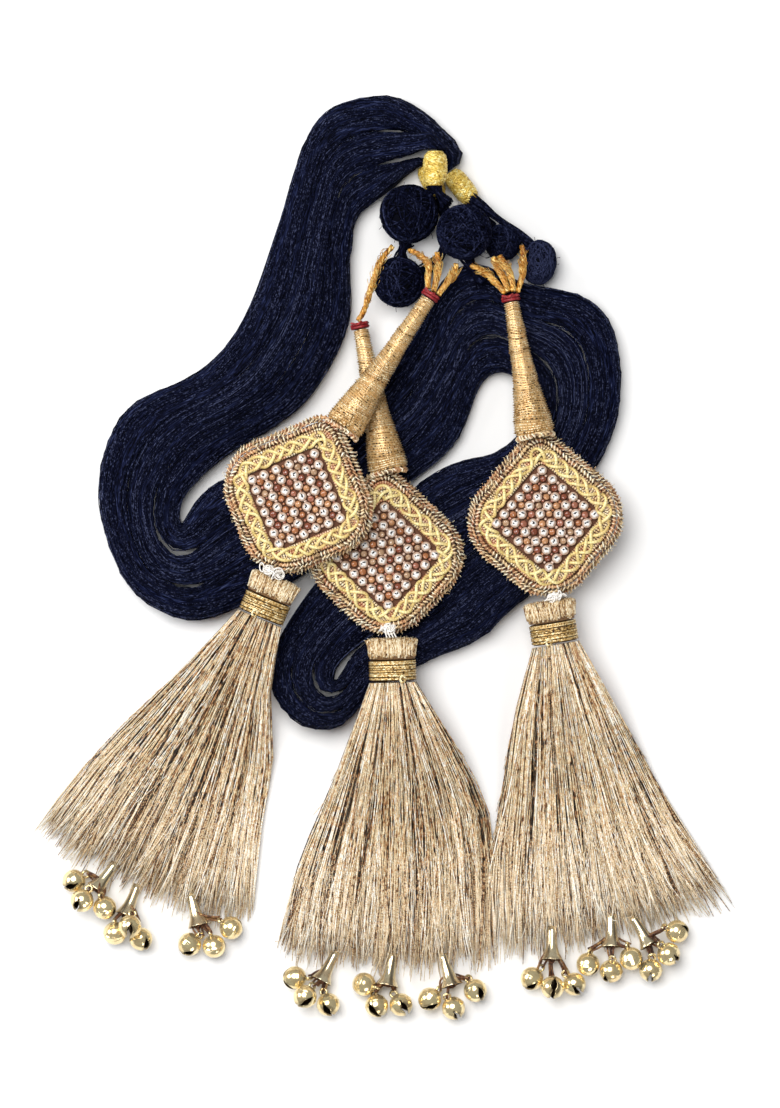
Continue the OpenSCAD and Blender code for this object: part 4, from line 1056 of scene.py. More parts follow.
# Rows of coiled wire under an open plait of three flat cords.
def addPlait(k, matrix, rng):
    m, look = medallion, plait
    innerCorner = 0.003
    coils = []
    for row in range(look["rows"]):
        share = row / (look["rows"] - 1)
        half = m["braidInner"] + 0.0004 + (m["braidOuter"] - m["braidInner"] - 0.0006) * share
        points, _, along = roundedSquare(half, innerCorner + (cornersAt(half) - innerCorner) * share, look["steps"])
        z = domeLevel(points[:, 0], points[:, 1]) + m["lay"] + 0.00045 + 0.0001 * rng.normal(size=len(points))
        blotch = np.interp(along, np.linspace(0, along[-1], 50), rng.uniform(0.25, 0.95, 50))
        coils.append(tubes(np.stack([points[:, 0], points[:, 1], z], 1), 0.0005, 5, tone=blotch[None]))
    addPiece("coiled_wire_" + pendants[k], [placed(s, matrix) for s in coils], "coiled wire")
    middle = (m["braidOuter"] + m["braidInner"]) / 2
    sway = (m["braidOuter"] - m["braidInner"]) / 2 - look["cord"] * 0.2
    points, out, along = roundedSquare(middle, (cornersAt(m["braidOuter"]) + innerCorner) / 2, 32 * look["waves"])
    share = along / along[-1]
    shapes = []
    for cord in range(3):
        count = 3 * look["waves"]
        shift, wide = rng.uniform(-0.6, 0.6, count), rng.uniform(0.62, 1.08, count)
        shift = np.interp(share, np.linspace(0, 1, count), np.append(shift[:-1], shift[0]))
        wide = np.interp(share, np.linspace(0, 1, count), np.append(wide[:-1], wide[0]))
        a = 2 * np.pi * (share * look["waves"] + cord / 3) + shift
        flat = points + out * (sway * wide * np.sin(a))[:, None]
        z = domeLevel(flat[:, 0], flat[:, 1]) + m["lay"] + look["cover"] - 0.0001 + 0.00042 * np.sin(2 * a + 0.6)
        # Painted light: a cord's tone rises and falls with its height, lighter where it rides over and darker as
        # painted shade where it dips under the others.
        shapes.append(tubes(np.stack([flat[:, 0], flat[:, 1], z], 1), look["cord"], 6,
                            tone=0.58 + 0.22 * np.sin(2 * a + 0.6)[None] + rng.uniform(-0.06, 0.08),
                            flat=look["flat"]))
    return addPiece("plait_" + pendants[k], [placed(s, matrix) for s in shapes], "gold braid",
                    ["braid_" + pendants[k]])


# A cut crystal painted by tone: dark foot as painted shade, pinkish girdle, and bright crown facets and a white table
# as painted highlights.
crystalRows = [(0.78, 0.0, 0.03), (1.0, 0.0004, 0.10), (1.0, 0.0008, 0.22), (0.95, 0.00100, 0.32),
               (0.87, 0.00112, 0.52), (0.66, 0.00140, 0.58), (0.52, 0.00151, 0.93), (0.2, 0.00155, 1.0)]


def crystalShape(x, y, z, turn):
    r = stoneGrid["diameter"] / 2
    sides = 12
    a = turn + 2 * np.pi * np.arange(sides) / sides
    rings = [np.stack([x + r * share * np.cos(a), y + r * share * np.sin(a), np.full(sides, z + level)], 1)
             for share, level, _ in crystalRows]
    shape = skin(rings)
    tone = np.repeat([t for _, _, t in crystalRows], sides)
    # Each crown facet gets its own painted sparkle: a lighter or darker tone.
    flick = np.tile(0.34 * np.cos(4 * np.arange(sides) + 5 * turn), len(crystalRows))
    flick = flick * np.repeat([0, 0, 0, 0, 0.15, 0.7, 0.6, 0], sides)
    return {**shape, "tone": np.clip(np.append(tone + flick, [0.03, 1.0]), 0, 1)}


# A painted dark reflection on a crystal's table: long and pointed, turned by an angle.
def glintShape(x, y, z, turn, long, wide):
    c, s = math.cos(turn), math.sin(turn)
    points = [(long, 0, 0), (0, wide, 0), (-long, 0, 0), (0, -wide, 0), (0, 0, 0.00004), (0, 0, -0.00004)]
    points = [(x + c * u - s * v, y + s * u + c * v, z + w) for u, v, w in points]
    ring = range(4)
    return newShape(points, tris=[(j, (j + 1) % 4, 4) for j in ring] + [((j + 1) % 4, j, 5) for j in ring], tone=0.0)


def beadShape(rng, x, y, z, radius, tone):
    a = 2 * np.pi * np.arange(9) / 9
    rows = [(0.35, -0.62), (0.85, -0.45), (1.0, 0.0), (0.85, 0.45), (0.5, 0.66), (0.2, 0.72)]
    lean = rng.normal(size=2) * 0.25
    rings = []
    for share, level in rows:
        px, py = radius * share * np.cos(a), radius * share * np.sin(a)
        rings.append(np.stack([x + px, y + py, z + radius * level + lean[0] * px + lean[1] * py], 1))
    return skin(rings, tone)


def addStones(k, matrix, rng):
    m, g = medallion, stoneGrid
    sixFirst = medallions[k][6] > 0
    crystals, beads = [], []
    upright = math.radians(90 - medallions[k][3] - 45)

    def spot(i, j):
        u, v = (i - 2.5) * g["six"], (j - 3) * g["seven"]
        return (u, v) if sixFirst else (v, u)
    for i in range(6):
        for j in range(7):
            x, y = spot(i, j)
            x, y = x + rng.normal() * 0.00009, y + rng.normal() * 0.00009
            seat = domeLevel(x, y) + m["lay"]
            crystals.append(crystalShape(x, y, seat, rng.uniform(0, 1)))
            for aside, ahead, long in ((-0.00015, 0.00042, 0.00070), (0.00028, 0.00002, 0.00042)):
                aside, ahead = aside + rng.normal() * 0.00018, ahead + rng.normal() * 0.00014
                gx = x + ahead * math.cos(upright) - aside * math.sin(upright)
                gy = y + ahead * math.sin(upright) + aside * math.cos(upright)
                crystals.append(glintShape(gx, gy, seat + 0.00155, upright + 1.4 + rng.normal() * 0.7,
                                           long * rng.uniform(0.7, 1.1), 0.00028))
            between = [spot(i + 0.5, j + rng.normal() * 0.05)] * (i < 5)
            between += [spot(i + rng.normal() * 0.05, j + 0.5)] * (j < 6)
            for x, y in between:
                beads.append(beadShape(rng, x, y, domeLevel(x, y) + 0.0007, g["bit"] * rng.uniform(0.8, 1.2),
                                       rng.choice([0.95, 0.3, 0.95, 0.7])))
    for i in range(-1, 6):
        for j in range(-1, 7):
            x, y = spot(i + 0.5, j + 0.5)
            inside = 0 <= i < 5 and 0 <= j < 6
            if not inside and (abs(x) > 0.0114 or abs(y) > 0.0114):
                continue
            x, y = x + rng.normal() * 0.0001, y + rng.normal() * 0.0001
            size = g["bead"] * (rng.uniform(0.88, 1.04) if inside else 0.6)
            beads.append(beadShape(rng, x, y, domeLevel(x, y) + (0.00085 if inside else 0.0006), size,
                                   rng.uniform(0, 0.88)))
    addPiece("seed_beads_" + pendants[k], [placed(s, matrix) for s in beads], "seed bead")
    return addPiece("crystals_" + pendants[k], [placed(s, matrix) for s in crystals], "crystal",
                    ["stones_" + pendants[k]], smooth=False)


# Where each tassel is sewn on: middle of its knot of white thread, and how wide it spreads.
knots = [([-0.0334, -0.0046, 0.0205], 0.0030), ([0.0011, -0.0215, 0.0150], 0.0022),
         ([0.0515, -0.0122, 0.0150], 0.0024)]


def addKnot(k, rng):
    middle, spread = knots[k]
    (x, y, z), turn, _ = tassels[k]
    across = np.array([-math.sin(math.radians(turn)), math.cos(math.radians(turn)), 0])
    loops = []
    for i in range(24):
        a = np.linspace(0, 2 * np.pi, 15) + rng.uniform(0, 7)
        size = rng.uniform(0.0006, 0.0015)
        tilt = unit(rng.normal(size=3))
        first = unit(np.cross(tilt, (0.3, 0.2, 1)))
        loops.append(np.array(middle) + across * rng.normal() * spread * 0.4 + first * size * np.cos(a)[:, None]
                     + np.cross(tilt, first) * size * np.sin(a)[:, None] + rng.normal(size=3) * 0.0004)
    shapes = [tubes(np.array(loops), 0.00022, 4, unit(rng.normal(size=(24, 1, 3))), rng.uniform(0.4, 1, 24))]
    t = np.linspace(0, 1, 8)[:, None]
    for i in range(4):
        start = np.array(middle) + across * spread * (i / 1.5 - 1) * 0.5
        end = np.array([x, y, z]) + across * 0.0014 * (i / 1.5 - 1) + (0, 0, 0.0030)
        shapes.append(tubes(start + (end - start) * t + (0, 0, 0.0006) * np.sin(np.pi * t), 0.00022, 4, tone=0.7))
    return addPiece("white_knot_" + pendants[k], shapes, "white thread")


def addMedallion(k):
    rng = np.random.default_rng(medallion["seed"] + k)
    matrix = medallionMatrix(k)
    addPad(k, matrix)
    addEdgeCords(k, matrix, rng)
    addPlait(k, matrix, rng)
    addStones(k, matrix, rng)
    addKnot(k, rng)


# Tassels: looped cap, wire wrap and a skirt of threads.
# Top of the cap x y z, turn of its axis from +X, and how far it points down.
tassels = [
    [[-0.0318, -0.0063, 0.0172], -113, 3], [[0.0023, -0.0244, 0.0129], -88.5, 2],
    [[0.0493, -0.0132, 0.0124], -81, 3]]
# Rows down a skirt: x y of its first edge thread, of its middle thread and of its last edge thread.
skirtRoutes = [
    [[-0.043, -0.0149, -0.0366, -0.0176, -0.0302, -0.0203],
     [-0.057, -0.03, -0.045, -0.038, -0.034, -0.041], [-0.0715, -0.045, -0.0535, -0.0585, -0.0342, -0.062],
     [-0.087, -0.0615, -0.062, -0.0795, -0.038, -0.0835],
     [-0.1015, -0.081, -0.0705, -0.099, -0.0405, -0.106]],
    [[-0.0042, -0.0378, 0.0026, -0.0376, 0.0095, -0.0374],
     [-0.0115, -0.058, 0.003, -0.059, 0.0206, -0.056], [-0.019, -0.0785, 0.003, -0.0805, 0.0295, -0.0755],
     [-0.0265, -0.0985, 0.0024, -0.102, 0.0313, -0.097],
     [-0.0305, -0.118, 0.0016, -0.1215, 0.0316, -0.119]],
    [[0.0445, -0.0272, 0.0513, -0.0261, 0.0581, -0.025],
     [0.0389, -0.0485, 0.0545, -0.048, 0.0685, -0.0435], [0.036, -0.0705, 0.0577, -0.0703, 0.0785, -0.063],
     [0.0328, -0.092, 0.061, -0.0924, 0.0885, -0.082], [0.0326, -0.117, 0.064, -0.1125, 0.101, -0.102]]]
tasselCap = {"width": 0.0152, "thick": 0.0094, "length": 0.0064, "threads": 84, "radius": 0.00028, "seed": 70}
tasselWrap = {"start": 0.0067, "length": 0.0062, "width": 0.0144, "thick": 0.0088, "wire": 0.00022, "turns": 13}
tasselSkirt = {
    "threads": 1450, "points": 9, "radius": 0.00023, "length": 0.086, "route": 0.088, "ragged": 0.0040,
    "tufts": 60, "gather": 0.30, "splay": 0.045, "cross": 0.26, "strays": 150, "floorThick": 0.0032, "ramp": 0.62,
    "ridge": 0.0005, "locks": 11, "seed": 80, "swing": 0.045, "paleSpread": 0.32, "streaks": 46, "streak": 0.16,
    "darkShare": 0.08,           # share of the threads that are dark
    "paleness": (0.58, 0.55, 0.69)}


def tasselMatrix(k):
    (x, y, z), turn, pitch = tassels[k]
    m = Matrix.Translation((x, y, z)) @ Matrix.Rotation(math.radians(turn), 4, "Z")
    return np.array(m @ Matrix.Rotation(math.radians(pitch), 4, "Y"))


def addTasselCap(k):
    look = tasselCap
    rng = np.random.default_rng(look["seed"] + k)
    paths, normals = [], []
    for i in range(look["threads"]):
        y = (i + 0.5) / look["threads"] * 2 - 1
        y = np.clip(y + rng.normal() * 0.02, -1, 1)
        edge = math.sqrt(max(0.05, 1 - abs(y) ** 3.2))
        a = np.linspace(-0.5 * np.pi, 0.5 * np.pi, 11) * rng.uniform(0.96, 1.0)
        top = look["length"] * (1 - (0.86 + 0.14 * edge) * rng.uniform(0.95, 1.0))
        x = look["length"] + (top - look["length"]) * np.cos(a) ** 0.55
        z = look["thick"] / 2 * edge * np.sin(a)
        spread = look["width"] / 2 * y * (0.93 + 0.07 * np.cos(a))
        sway = 0.0002 * np.sin(a * 2 + rng.uniform(0, 7))
        paths.append(np.stack([x, spread + sway, z], 1))
        normals.append(np.stack([-np.cos(a), 0.3 * y + 0 * a, np.sin(a)], 1))
    shapes = [tubes(paths, look["radius"], 4, unit(np.array(normals)),
                    np.clip(rng.normal(0.62, 0.18, len(paths)), 0, 1))]
    rings = []
    a = 2 * np.pi * np.arange(28) / 28
    for x, size in ((0.0009, 0.35), (0.0012, 0.7), (0.0024, 0.88), (0.0044, 0.92), (look["length"], 0.9)):
        rings.append(np.stack([np.full(28, x),
                               -np.sign(np.cos(a)) * abs(np.cos(a)) ** 0.75 * look["width"] / 2 * size,
                               np.sin(a) * look["thick"] / 2 * size], 1))
    shapes.append(skin(rings, 0.3))
    picks = rng.integers(0, len(paths), 120)
    roots = np.array([paths[p][rng.integers(3, 9)] for p in picks])
    steps = np.linspace(0, 1, 4)[None, :, None]
    lean = unit(roots * (0, 1, 1) + (-0.002, 0, 0) + rng.normal(size=roots.shape) * 0.002)
    fuzz = roots[:, None] + lean[:, None] * steps * rng.uniform(0.0003, 0.0009, 120)[:, None, None]
    shapes.append(tubes(fuzz, 0.00008, 3, unit(rng.normal(size=fuzz.shape)), 0.9))
    shapes = [placed(s, tasselMatrix(k)) for s in shapes]
    return addPiece("looped_cap_" + pendants[k], shapes, "cap thread", ["tassel_cap_" + pendants[k]])


def addTasselWrap(k):
    look = tasselWrap
    rng = np.random.default_rng(tasselCap["seed"] + 7 + k)
    steps = 44
    a = 2 * np.pi * np.arange(look["turns"] * steps + 1) / steps
    flatness = look["width"] / 2 - look["thick"] / 2
    reach = look["thick"] / 2 - look["wire"]
    out = np.stack([0 * a, np.sign(np.cos(a)) * abs(np.cos(a)) ** 0.8, np.sin(a)], 1)
    line = np.stack([look["start"] + look["wire"] + (look["length"] - 2 * look["wire"]) * a / a[-1]
                     + 0.00012 * np.sin(a * 0.37),
                     flatness * np.tanh(2.4 * np.cos(a)) + reach * np.cos(a), reach * np.sin(a)], 1)
    turnTone = rng.uniform(0.3, 0.8, look["turns"] + 1)
    tone = np.interp(a, 2 * np.pi * np.arange(look["turns"] + 1), turnTone) - 0.32 * (np.cos(a) < -0.93)
    shapes = [tubes(line, look["wire"], 5, unit(out), np.clip(tone, 0, 1)[None])]
    # The skin under the wire is painted dark, as shade between the turns.
    b = 2 * np.pi * np.arange(28) / 28
    rings = [np.stack([np.full(28, look["start"] + look["length"] * s),
                       -(flatness * np.tanh(2.4 * np.cos(b)) + reach * np.cos(b)) * 0.95,
                       reach * np.sin(b) * 0.95], 1) for s in (0.01, 0.5, 0.99)]
    shapes.append(skin(rings, 0.1))
    end = np.array([look["start"] + look["length"] - 0.0006, 0.003 if k == 1 else -0.002, reach])
    t = np.linspace(0, 2 * np.pi, 13)
    for size, lift in ((0.0011, 0.0002), (0.0008, 0.0004)):
        loop = end + np.stack([size * np.cos(t), 0.8 * size * np.sin(t), lift + 0.0003 * np.cos(2 * t)], 1)
        shapes.append(tubes(loop, 0.0002, 5, tone=0.7))
    shapes = [placed(s, tasselMatrix(k)) for s in shapes]
    return addPiece("wire_wrap_" + pendants[k], shapes, "wrap wire", ["tassel_wrap_" + pendants[k]])


bunches = [
    [[-0.0867, -0.1003, -127, [-0.0932, -0.0977, 0.0036, -150, 10, 70], [-0.0839, -0.1056, 0.006, -75, -25, 40],
      [-0.0906, -0.1034, 0.0073, -120, 0, 105]],
     [-0.0777, -0.1081, -111, [-0.0809, -0.1134, 0.0036, -90, -30, 15], [-0.0731, -0.1151, 0.0036, -75, 0, 60],
      [-0.0762, -0.1111, 0.0088, -100, 20, 85]],
     [-0.0557, -0.1112, -75, [-0.0584, -0.1167, 0.0037, -140, 0, 50], [-0.046, -0.1118, 0.0036, -35, -25, 20],
      [-0.0511, -0.1173, 0.0036, -75, -20, 10]]],
    [[-0.0189, -0.1278, -117, [-0.0268, -0.1268, 0.0036, 175, 15, 15], [-0.0168, -0.1348, 0.0036, -70, 15, 110],
      [-0.0237, -0.1322, 0.0073, -125, 25, 60]],
     [0.001, -0.1292, -101, [-0.006, -0.1287, 0.004, 165, -25, 10], [0.0051, -0.1349, 0.0036, -55, 20, 80],
      [-0.0022, -0.1352, 0.0036, -75, 30, 125]],
     [0.0205, -0.1292, -73, [0.0138, -0.1332, 0.0036, -135, 20, 45], [0.0274, -0.1306, 0.0036, -60, 10, 65],
      [0.0209, -0.1359, 0.0037, -60, -15, 95]]],
    [[0.0504, -0.1214, -91, [0.0445, -0.127, 0.0036, -130, 0, 60], [0.0572, -0.1287, 0.0036, -50, 0, 100],
      [0.0506, -0.1295, 0.0066, -90, 55, 80]],
     [0.0684, -0.1175, -90, [0.0613, -0.1227, 0.0036, -100, -20, 35], [0.0742, -0.1209, 0.0051, -75, -10, 20],
      [0.0683, -0.1248, 0.0036, -95, -25, 120]],
     [0.0799, -0.117, -59, [0.0881, -0.1129, 0.0036, -20, -20, 50], [0.0802, -0.1245, 0.0036, -95, -15, 90],
      [0.0855, -0.1196, 0.0048, -50, -25, 70]]]]
bell = {"diameter": 0.007, "hornLength": 0.010, "hornMouth": 0.0035, "hornRise": 9, "eyelet": 0.001,
        "seed": 110, "tieSeed": 90, "tieThread": 0.00032}


# Where a thread of a skirt lies: rows is threads by steps by six.
def acrossRow(rows, across):
    first, middle, last = rows[..., 0:2], rows[..., 2:4], rows[..., 4:6]
    a = across[..., None]
    return middle + a / 2 * (last - first) + a ** 2 / 2 * (first - 2 * middle + last)


def skirtPoints(k, across, depth, share, stretch):
    look = tasselSkirt
    rows = smoothRows(skirtRoutes[k], 6)
    (x, y, z), turn, pitch = tassels[k]
    down = 0.0064 + 0.0062 + 0.0009
    c, s, p = math.cos(math.radians(turn)), math.sin(math.radians(turn)), math.radians(pitch)
    root = np.array([x, y, z]) + down * np.array([c * math.cos(p), s * math.cos(p), -math.sin(p)])
    at = np.stack([np.interp(share, np.linspace(0, 1, len(rows)), rows[:, i]) for i in range(6)], -1)
    start = acrossRow(np.broadcast_to(rows[0], at.shape), across)
    plan = root[:2] - acrossRow(rows[0], np.array(0.0)) + start + (acrossRow(at, across) - start) * stretch
    ramp = 0.5 + 0.5 * np.cos(np.pi * np.minimum(1, share / look["ramp"]))
    full = look["floorThick"] + (0.008 - look["floorThick"]) * ramp
    thick = full * (0.45 + 0.55 * np.sqrt(np.maximum(1 - (0.95 * across) ** 2, 0)))  # strays lie past the edge, too
    middle = look["floorThick"] / 2 + (root[2] - look["floorThick"] / 2) * ramp
    low = np.maximum(0, middle - (look["floorThick"] + (thick - look["floorThick"]) * ramp) / 2)
    ridge = look["ridge"] * (0.5 - 0.5 * np.cos(np.pi * (across + 1) * look["locks"]))
    level = np.maximum(low + (thick + ridge) * depth, 0.0002)
    return np.concatenate([plan, level[..., None]], -1)


skirtStray = {
    "begin": (0.1, 0.75), "length": (0.15, 0.45), "past": (0.01, 0.09), "asideShare": 0.55, "radius": 0.00012}


# Single threads that leave the fan at its sides and lie across it.
def skirtStrays(k, rng):
    stray = skirtStray
    look = tasselSkirt
    count = look["strays"]
    t = np.linspace(0, 1, 12)
    begin, length = rng.uniform(*stray["begin"], count)[:, None], rng.uniform(*stray["length"], count)[:, None]
    share = np.minimum(begin + length * t, 1.0)
    edge = rng.choice([-1, 1], count)[:, None]
    aside = rng.random(count)[:, None] < stray["asideShare"]
    across = np.where(aside, edge * (0.97 + rng.uniform(*stray["past"], count)[:, None] * t ** 1.5),
                      rng.uniform(-0.9, 0.9, count)[:, None] + edge * rng.uniform(0.05, 0.3, count)[:, None] * t)
    depth = np.where(aside, 0.4, 1.08)
    reach = np.full((count, 1, 1), look["length"] / look["route"])
    paths = skirtPoints(k, across, depth * np.ones((1, 12)), share, reach * np.ones((1, 12, 1)))
    return tubes(paths, stray["radius"], 3, tone=rng.uniform(0.66, 1.0, count))


def addSkirt(k):
    look = tasselSkirt
    rng = np.random.default_rng(look["seed"] + k)
    n, m = look["threads"], look["points"]
    depth = 1 - rng.beta(1.0, 2.2, n) * 0.95
    across = rng.uniform(-1, 1, n)
    centres = np.sort(rng.uniform(-1, 1, look["tufts"]))
    nearest = centres[np.abs(across[:, None] - centres).argmin(1)]
    t = np.linspace(0, 1, m)
    reach = (look["length"] + look["ragged"] * rng.normal(size=n).clip(-2.2, 1.4)
             - 0.0012 * rng.random(n)) / look["route"]
    reach = reach + 0.022 * rng.normal(size=look["tufts"])[np.abs(across[:, None] - centres).argmin(1)]
    ends = skirtPoints(k, across, depth, np.ones(n), np.ones(n)[:, None])
    for hornX, hornY, turn, *_ in bunches[k]:
        axis = np.array([math.cos(math.radians(turn)), math.sin(math.radians(turn))])
        tail = np.array([hornX, hornY]) - bell["hornLength"] * axis
        away = ends[:, :2] - tail
        off = away[:, 0] * axis[1] - away[:, 1] * axis[0]
        past = (ends[:, :2] - tail) @ axis
        near = (np.abs(off) < 0.0022) & (past > 0)
        reach = np.where(near, np.minimum(reach, 1 - (past - rng.uniform(-0.001, 0.003, n)) / look["route"]), reach)
    share = np.broadcast_to(t, (n, m))
    wander = (nearest - across)[:, None] * look["gather"] * t ** 1.6
    swing = rng.normal(size=n)[:, None] * look["swing"]
    phase = t * rng.uniform(2, 4, n)[:, None] + rng.uniform(0, 7, n)[:, None]
    wander = wander + swing * np.sin(phase) * t
    wander = wander + rng.normal(size=n)[:, None] * look["splay"] * np.clip((t - 0.6) / 0.4, 0, 1) ** 2
    loose = (rng.random(n) < 0.5) * rng.normal(size=n) * look["cross"]
    loose = (loose * (0.2 + 0.8 * (1 - across ** 2)))[:, None]
    place = across[:, None] + wander + loose * (t - 0.1 * rng.random(n)[:, None])
    low = depth[:, None] + 0.06 * np.sin(5 * t + rng.uniform(0, 7, n)[:, None])
    paths = skirtPoints(k, np.clip(place, -1.05, 1.05), np.clip(low, 0.03, 1.06), share,
                        reach[:, None, None] * np.ones((1, m, 1)))
    streak = rng.uniform(-look["streak"], look["streak"], look["streaks"])
    streak = np.interp(across, np.linspace(-1, 1, look["streaks"]), streak)
    tone = np.clip(rng.normal(look["paleness"][k], look["paleSpread"], n) + streak, 0.0, 1.0)
    dark = (rng.random(n) < look["darkShare"])[:, None]
    tone = np.where(dark, 0.02 + 0.4 * np.clip(1 - t / 0.4, 0, 1), tone[:, None])
    tone = tone + 0.2 * np.clip((t - 0.7) / 0.3, 0, 1)
    # Painted shade: threads that lie lower in the skirt are darkened, less so near the root and the ends.
    unshaded = np.clip((depth - 0.3) / 0.55, 0, 1)[:, None]
    unshaded = unshaded + (1 - unshaded) * np.clip(np.maximum((t - 0.72) / 0.2, 0.7 - t / 0.35), 0, 1)
    tone = tone * (0.26 + 0.74 * unshaded)
    radius = look["radius"] * rng.uniform(0.6, 1.35, n)[:, None] * np.interp(t, [0, 0.9, 1], [1, 1, 0.45])
    shapes = [tubes(paths, radius, 3, tone=tone)]
    shapes.append(skirtStrays(k, rng))
    coreShare = np.linspace(0, 0.88, 9)
    coreAcross = np.linspace(-0.93, 0.93, 13)
    rings = []
    for s in coreShare:
        up = skirtPoints(k, coreAcross, np.full(13, 0.5), np.full(13, s), np.full((13, 1), 0.93))
        under = skirtPoints(k, coreAcross[::-1], np.full(13, 0.08), np.full(13, s), np.full((13, 1), 0.93))
        rings.append(np.concatenate([up, under]))
    # The core under the threads is painted near-black, as shade between them.
    shapes.append(skin(rings, 0.04))
    return addPiece("tassel_threads_" + pendants[k], shapes, "tassel thread",
                    ["tassel_skirt_" + pendants[k]])


# Horns and bells of thin brass, and the threads that tie each bell into its horn's mouth.
# Share of a horn's length and share of its mouth's radius.
hornOutline = [[0, 0.4], [0.3, 0.42], [0.5, 0.47], [0.68, 0.56], [0.82, 0.72], [0.93, 0.9], [1, 1]]
hornLook = {"wall": 0.0004, "end": 0.0006, "lift": 0.0001, "lobes": 4, "lobe": 0.10, "sides": 28, "streak": 0.22}
bellLook = {"wall": 0.00045, "slit": 0.00052, "holeAside": 0.00252, "hole": 0.00098, "lip": 0.00016,
            "ridge": 0.00014, "wire": 0.0004}


def hornAxis(k, q):
    x, y, turn, *_ = bunches[k][q]
    turn, rise = math.radians(turn), math.radians(bell["hornRise"])
    axis = np.array([math.cos(turn) * math.cos(rise), math.sin(turn) * math.cos(rise), math.sin(rise)])
    return np.array([x, y, bell["hornMouth"] + hornLook["lift"]]), axis


# A hollow horn of folded sheet with a lobed mouth and a dark seam along it; its inside is painted dark as shade.
def hornShape(k, q, rng):
    look = hornLook
    mouth, axis = hornAxis(k, q)
    side = unit(np.cross(axis, (0, 0, 1)))
    up = np.cross(side, axis)
    a = 2 * np.pi * np.arange(look["sides"]) / look["sides"]
    rows = smoothRows(hornOutline, 2)
    outer = [(share, radius * bell["hornMouth"], 1.0) for share, radius in rows]
    end, thin = look["end"] / bell["hornLength"], 0.0006
    # Inner rows get tone 0.12, and the inner end's middle 0.05: painted shade inside the horn.
    inner = [(max(share, end), max(radius * bell["hornMouth"] - look["wall"], thin), 0.12)
             for share, radius in rows[::-1]]
    seam = np.pi / 2 + rng.uniform(-0.7, 0.7)
    off = np.abs((a - seam + np.pi) % (2 * np.pi) - np.pi)
    rings, tones = [], []
    for share, radius, tone in outer + inner:
        lobe = 1 - look["lobe"] * share ** 4 * (0.5 - 0.5 * np.cos(look["lobes"] * (a - seam)))
        crease = 1 - 0.06 * np.exp(-(off / 0.3) ** 2)
        spoke = side * (np.cos(a) * lobe * crease)[:, None] + up * (np.sin(a) * lobe * crease)[:, None]
        rings.append(mouth + axis * (share - 1) * bell["hornLength"] + radius * spoke)
        tones.append(np.where(off < look["streak"], tone * 0.3, tone * (0.85 + 0.15 * np.cos(3 * a + 1))))
    shape = skin(np.array(rings)[:, ::-1])
    return {**shape, "tone": np.append(np.array(tones)[:, ::-1].ravel(), [0.5, 0.05])}


# A round bell along +X as a thin shell: rings go along Y, which is the way its slit runs, and a ridge joins its halves.
def bellShape():
    look = bellLook
    r = bell["diameter"] / 2
    places = np.sort(np.concatenate([np.linspace(0, 1, 21), [0.012, 0.988, 0.243, 0.257, 0.743, 0.757]]))
    lip = look["lip"] * np.interp(np.minimum(places, 1 - places), [0, 0.05], [1, 0])
    ridge = look["ridge"] * ((abs(places - 0.25) < 0.001) | (abs(places - 0.75) < 0.001))
    rings = []
    for latitude in np.radians(np.linspace(-82, 82, 17)):
        y, flat = r * math.sin(latitude), r * math.cos(latitude)
        hole = math.sqrt(max(0.0, look["hole"] ** 2 - (abs(y) - look["holeAside"]) ** 2))
        slit = look["slit"] if abs(y) < look["holeAside"] else 0.00004
        first = math.asin(min(0.75, max(slit, hole) / flat))
        a = first + (2 * np.pi - 2 * first) * places
        for size, angle in ((flat + (lip + ridge) * math.cos(latitude), a),
                            (flat * (1 - look["wall"] / r) * np.ones(len(a)), a[::-1])):
            rings.append(np.stack([size * np.cos(angle), np.full(len(a), y), size * np.sin(angle)], 1))
    rings = np.concatenate([rings[0::2], rings[1::2]], 1)
    shape = skin(rings)
    # Tone: the inner shell is painted near-black as shade inside the bell; the lips along the slit get half the outer
    # tone.
    tone = np.tile(np.concatenate([1 - 0.5 * (lip > 0), np.full(len(places), 0.06)]), 17)
    shape = {**shape, "tone": np.append(tone, [0.6, 0.6])}
    a = np.linspace(0, 2 * np.pi, 15)
    ring = np.stack([bell["eyelet"] * np.cos(a) - r - bell["eyelet"] * 0.6, 0 * a, bell["eyelet"] * np.sin(a)], 1)
    return [shape, tubes(ring, look["wire"], 6, (0, 1, 0), 0.8)]


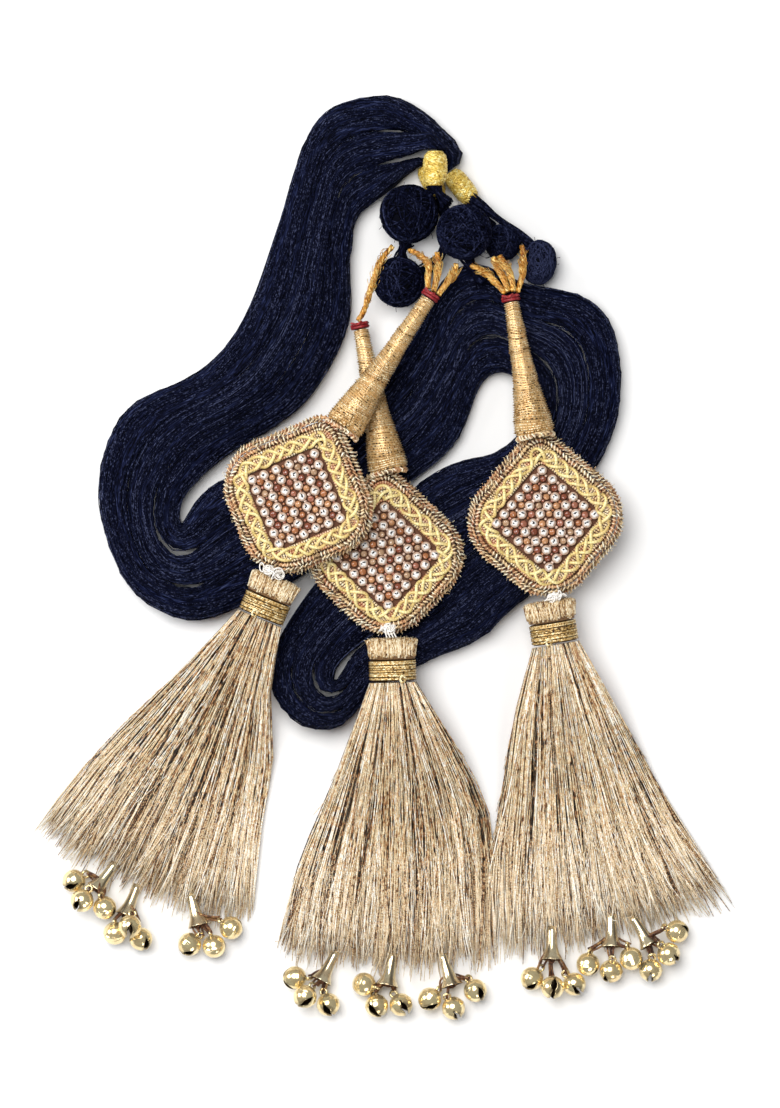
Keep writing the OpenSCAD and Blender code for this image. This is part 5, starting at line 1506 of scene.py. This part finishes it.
def addHornAndBells(k, q):
    name = pendants[k] + "_" + pendants[q]
    rng = np.random.default_rng(bell["seed"] + 3 * k + q)
    addPiece("brass_horn_" + name, [hornShape(k, q, rng)], "horn brass", ["bell_horn_" + name])
    shapes = []
    for x, y, z, slit, tip, roll in bunches[k][q][3:]:
        m = Matrix.Translation((x, y, z)) @ Matrix.Rotation(math.radians(slit), 4, "Z")
        m = m @ Matrix.Rotation(math.radians(-tip), 4, "Y") @ Matrix.Rotation(math.radians(roll), 4, "X")
        shapes += [placed(s, np.array(m)) for s in bellShape()]
    addPiece("brass_bells_" + name, shapes, "bell brass", ["bells_" + name])


def addBunchTies(k, q):
    rng = np.random.default_rng(bell["tieSeed"] + 3 * k + q)
    mouth, axis = hornAxis(k, q)
    inside = mouth - axis * 0.003
    paths = []
    for x, y, z, slit, tip, _ in bunches[k][q][3:]:
        c, s, p = math.cos(math.radians(slit)), math.sin(math.radians(slit)), math.radians(tip)
        ahead = np.array([c * math.cos(p), s * math.cos(p), math.sin(p)])
        eyelet = np.array([x, y, z]) - ahead * (bell["diameter"] / 2 + bell["eyelet"] * 0.9)
        for _ in range(4):
            t = np.linspace(0, 1, 9)[:, None]
            bow = rng.normal(size=3) * 0.0004
            path = inside + rng.normal(size=3) * 0.0006 + (eyelet - inside) * t + bow * np.sin(np.pi * t)
            path[:, 2] = np.maximum(path[:, 2], 0.0004)
            paths.append(path)
    knot = []
    for _ in range(9):
        a = np.linspace(0, 2 * np.pi, 13)
        first, second = unit(rng.normal(size=(2, 3)))
        size = rng.uniform(0.0006, 0.0013)
        knot.append(mouth - axis * 0.0006 + first * size * np.cos(a)[:, None] + second * size * np.sin(a)[:, None])
    shapes = [tubes(paths, bell["tieThread"], 5, tone=rng.uniform(0.1, 0.6, len(paths))),
              tubes(np.array(knot), 0.0003, 4, unit(rng.normal(size=(9, 1, 3))), rng.uniform(0.1, 0.5, 9))]
    addPiece("bell_ties_" + pendants[k] + "_" + pendants[q], shapes, "tie thread")


addFloor()
for k in range(3):
    addSkein(k)
    addCollar(k)
    addCords(k)
print("skeins, collars and cords built,", pieceCount["triangles"], "triangles")
for i in range(len(balls)):
    addBall(i)
addNecks()
for k in range(3):
    addStem(k)
    addStemTie(k)
    addMedallion(k)
print("balls, stems and medallions built,", pieceCount["triangles"], "triangles")
for k in range(3):
    addTasselCap(k)
    addTasselWrap(k)
    addSkirt(k)
    for q in range(3):
        addHornAndBells(k, q)
        addBunchTies(k, q)
print("tassels and bells built,", pieceCount["pieces"], "pieces,", pieceCount["triangles"], "triangles")
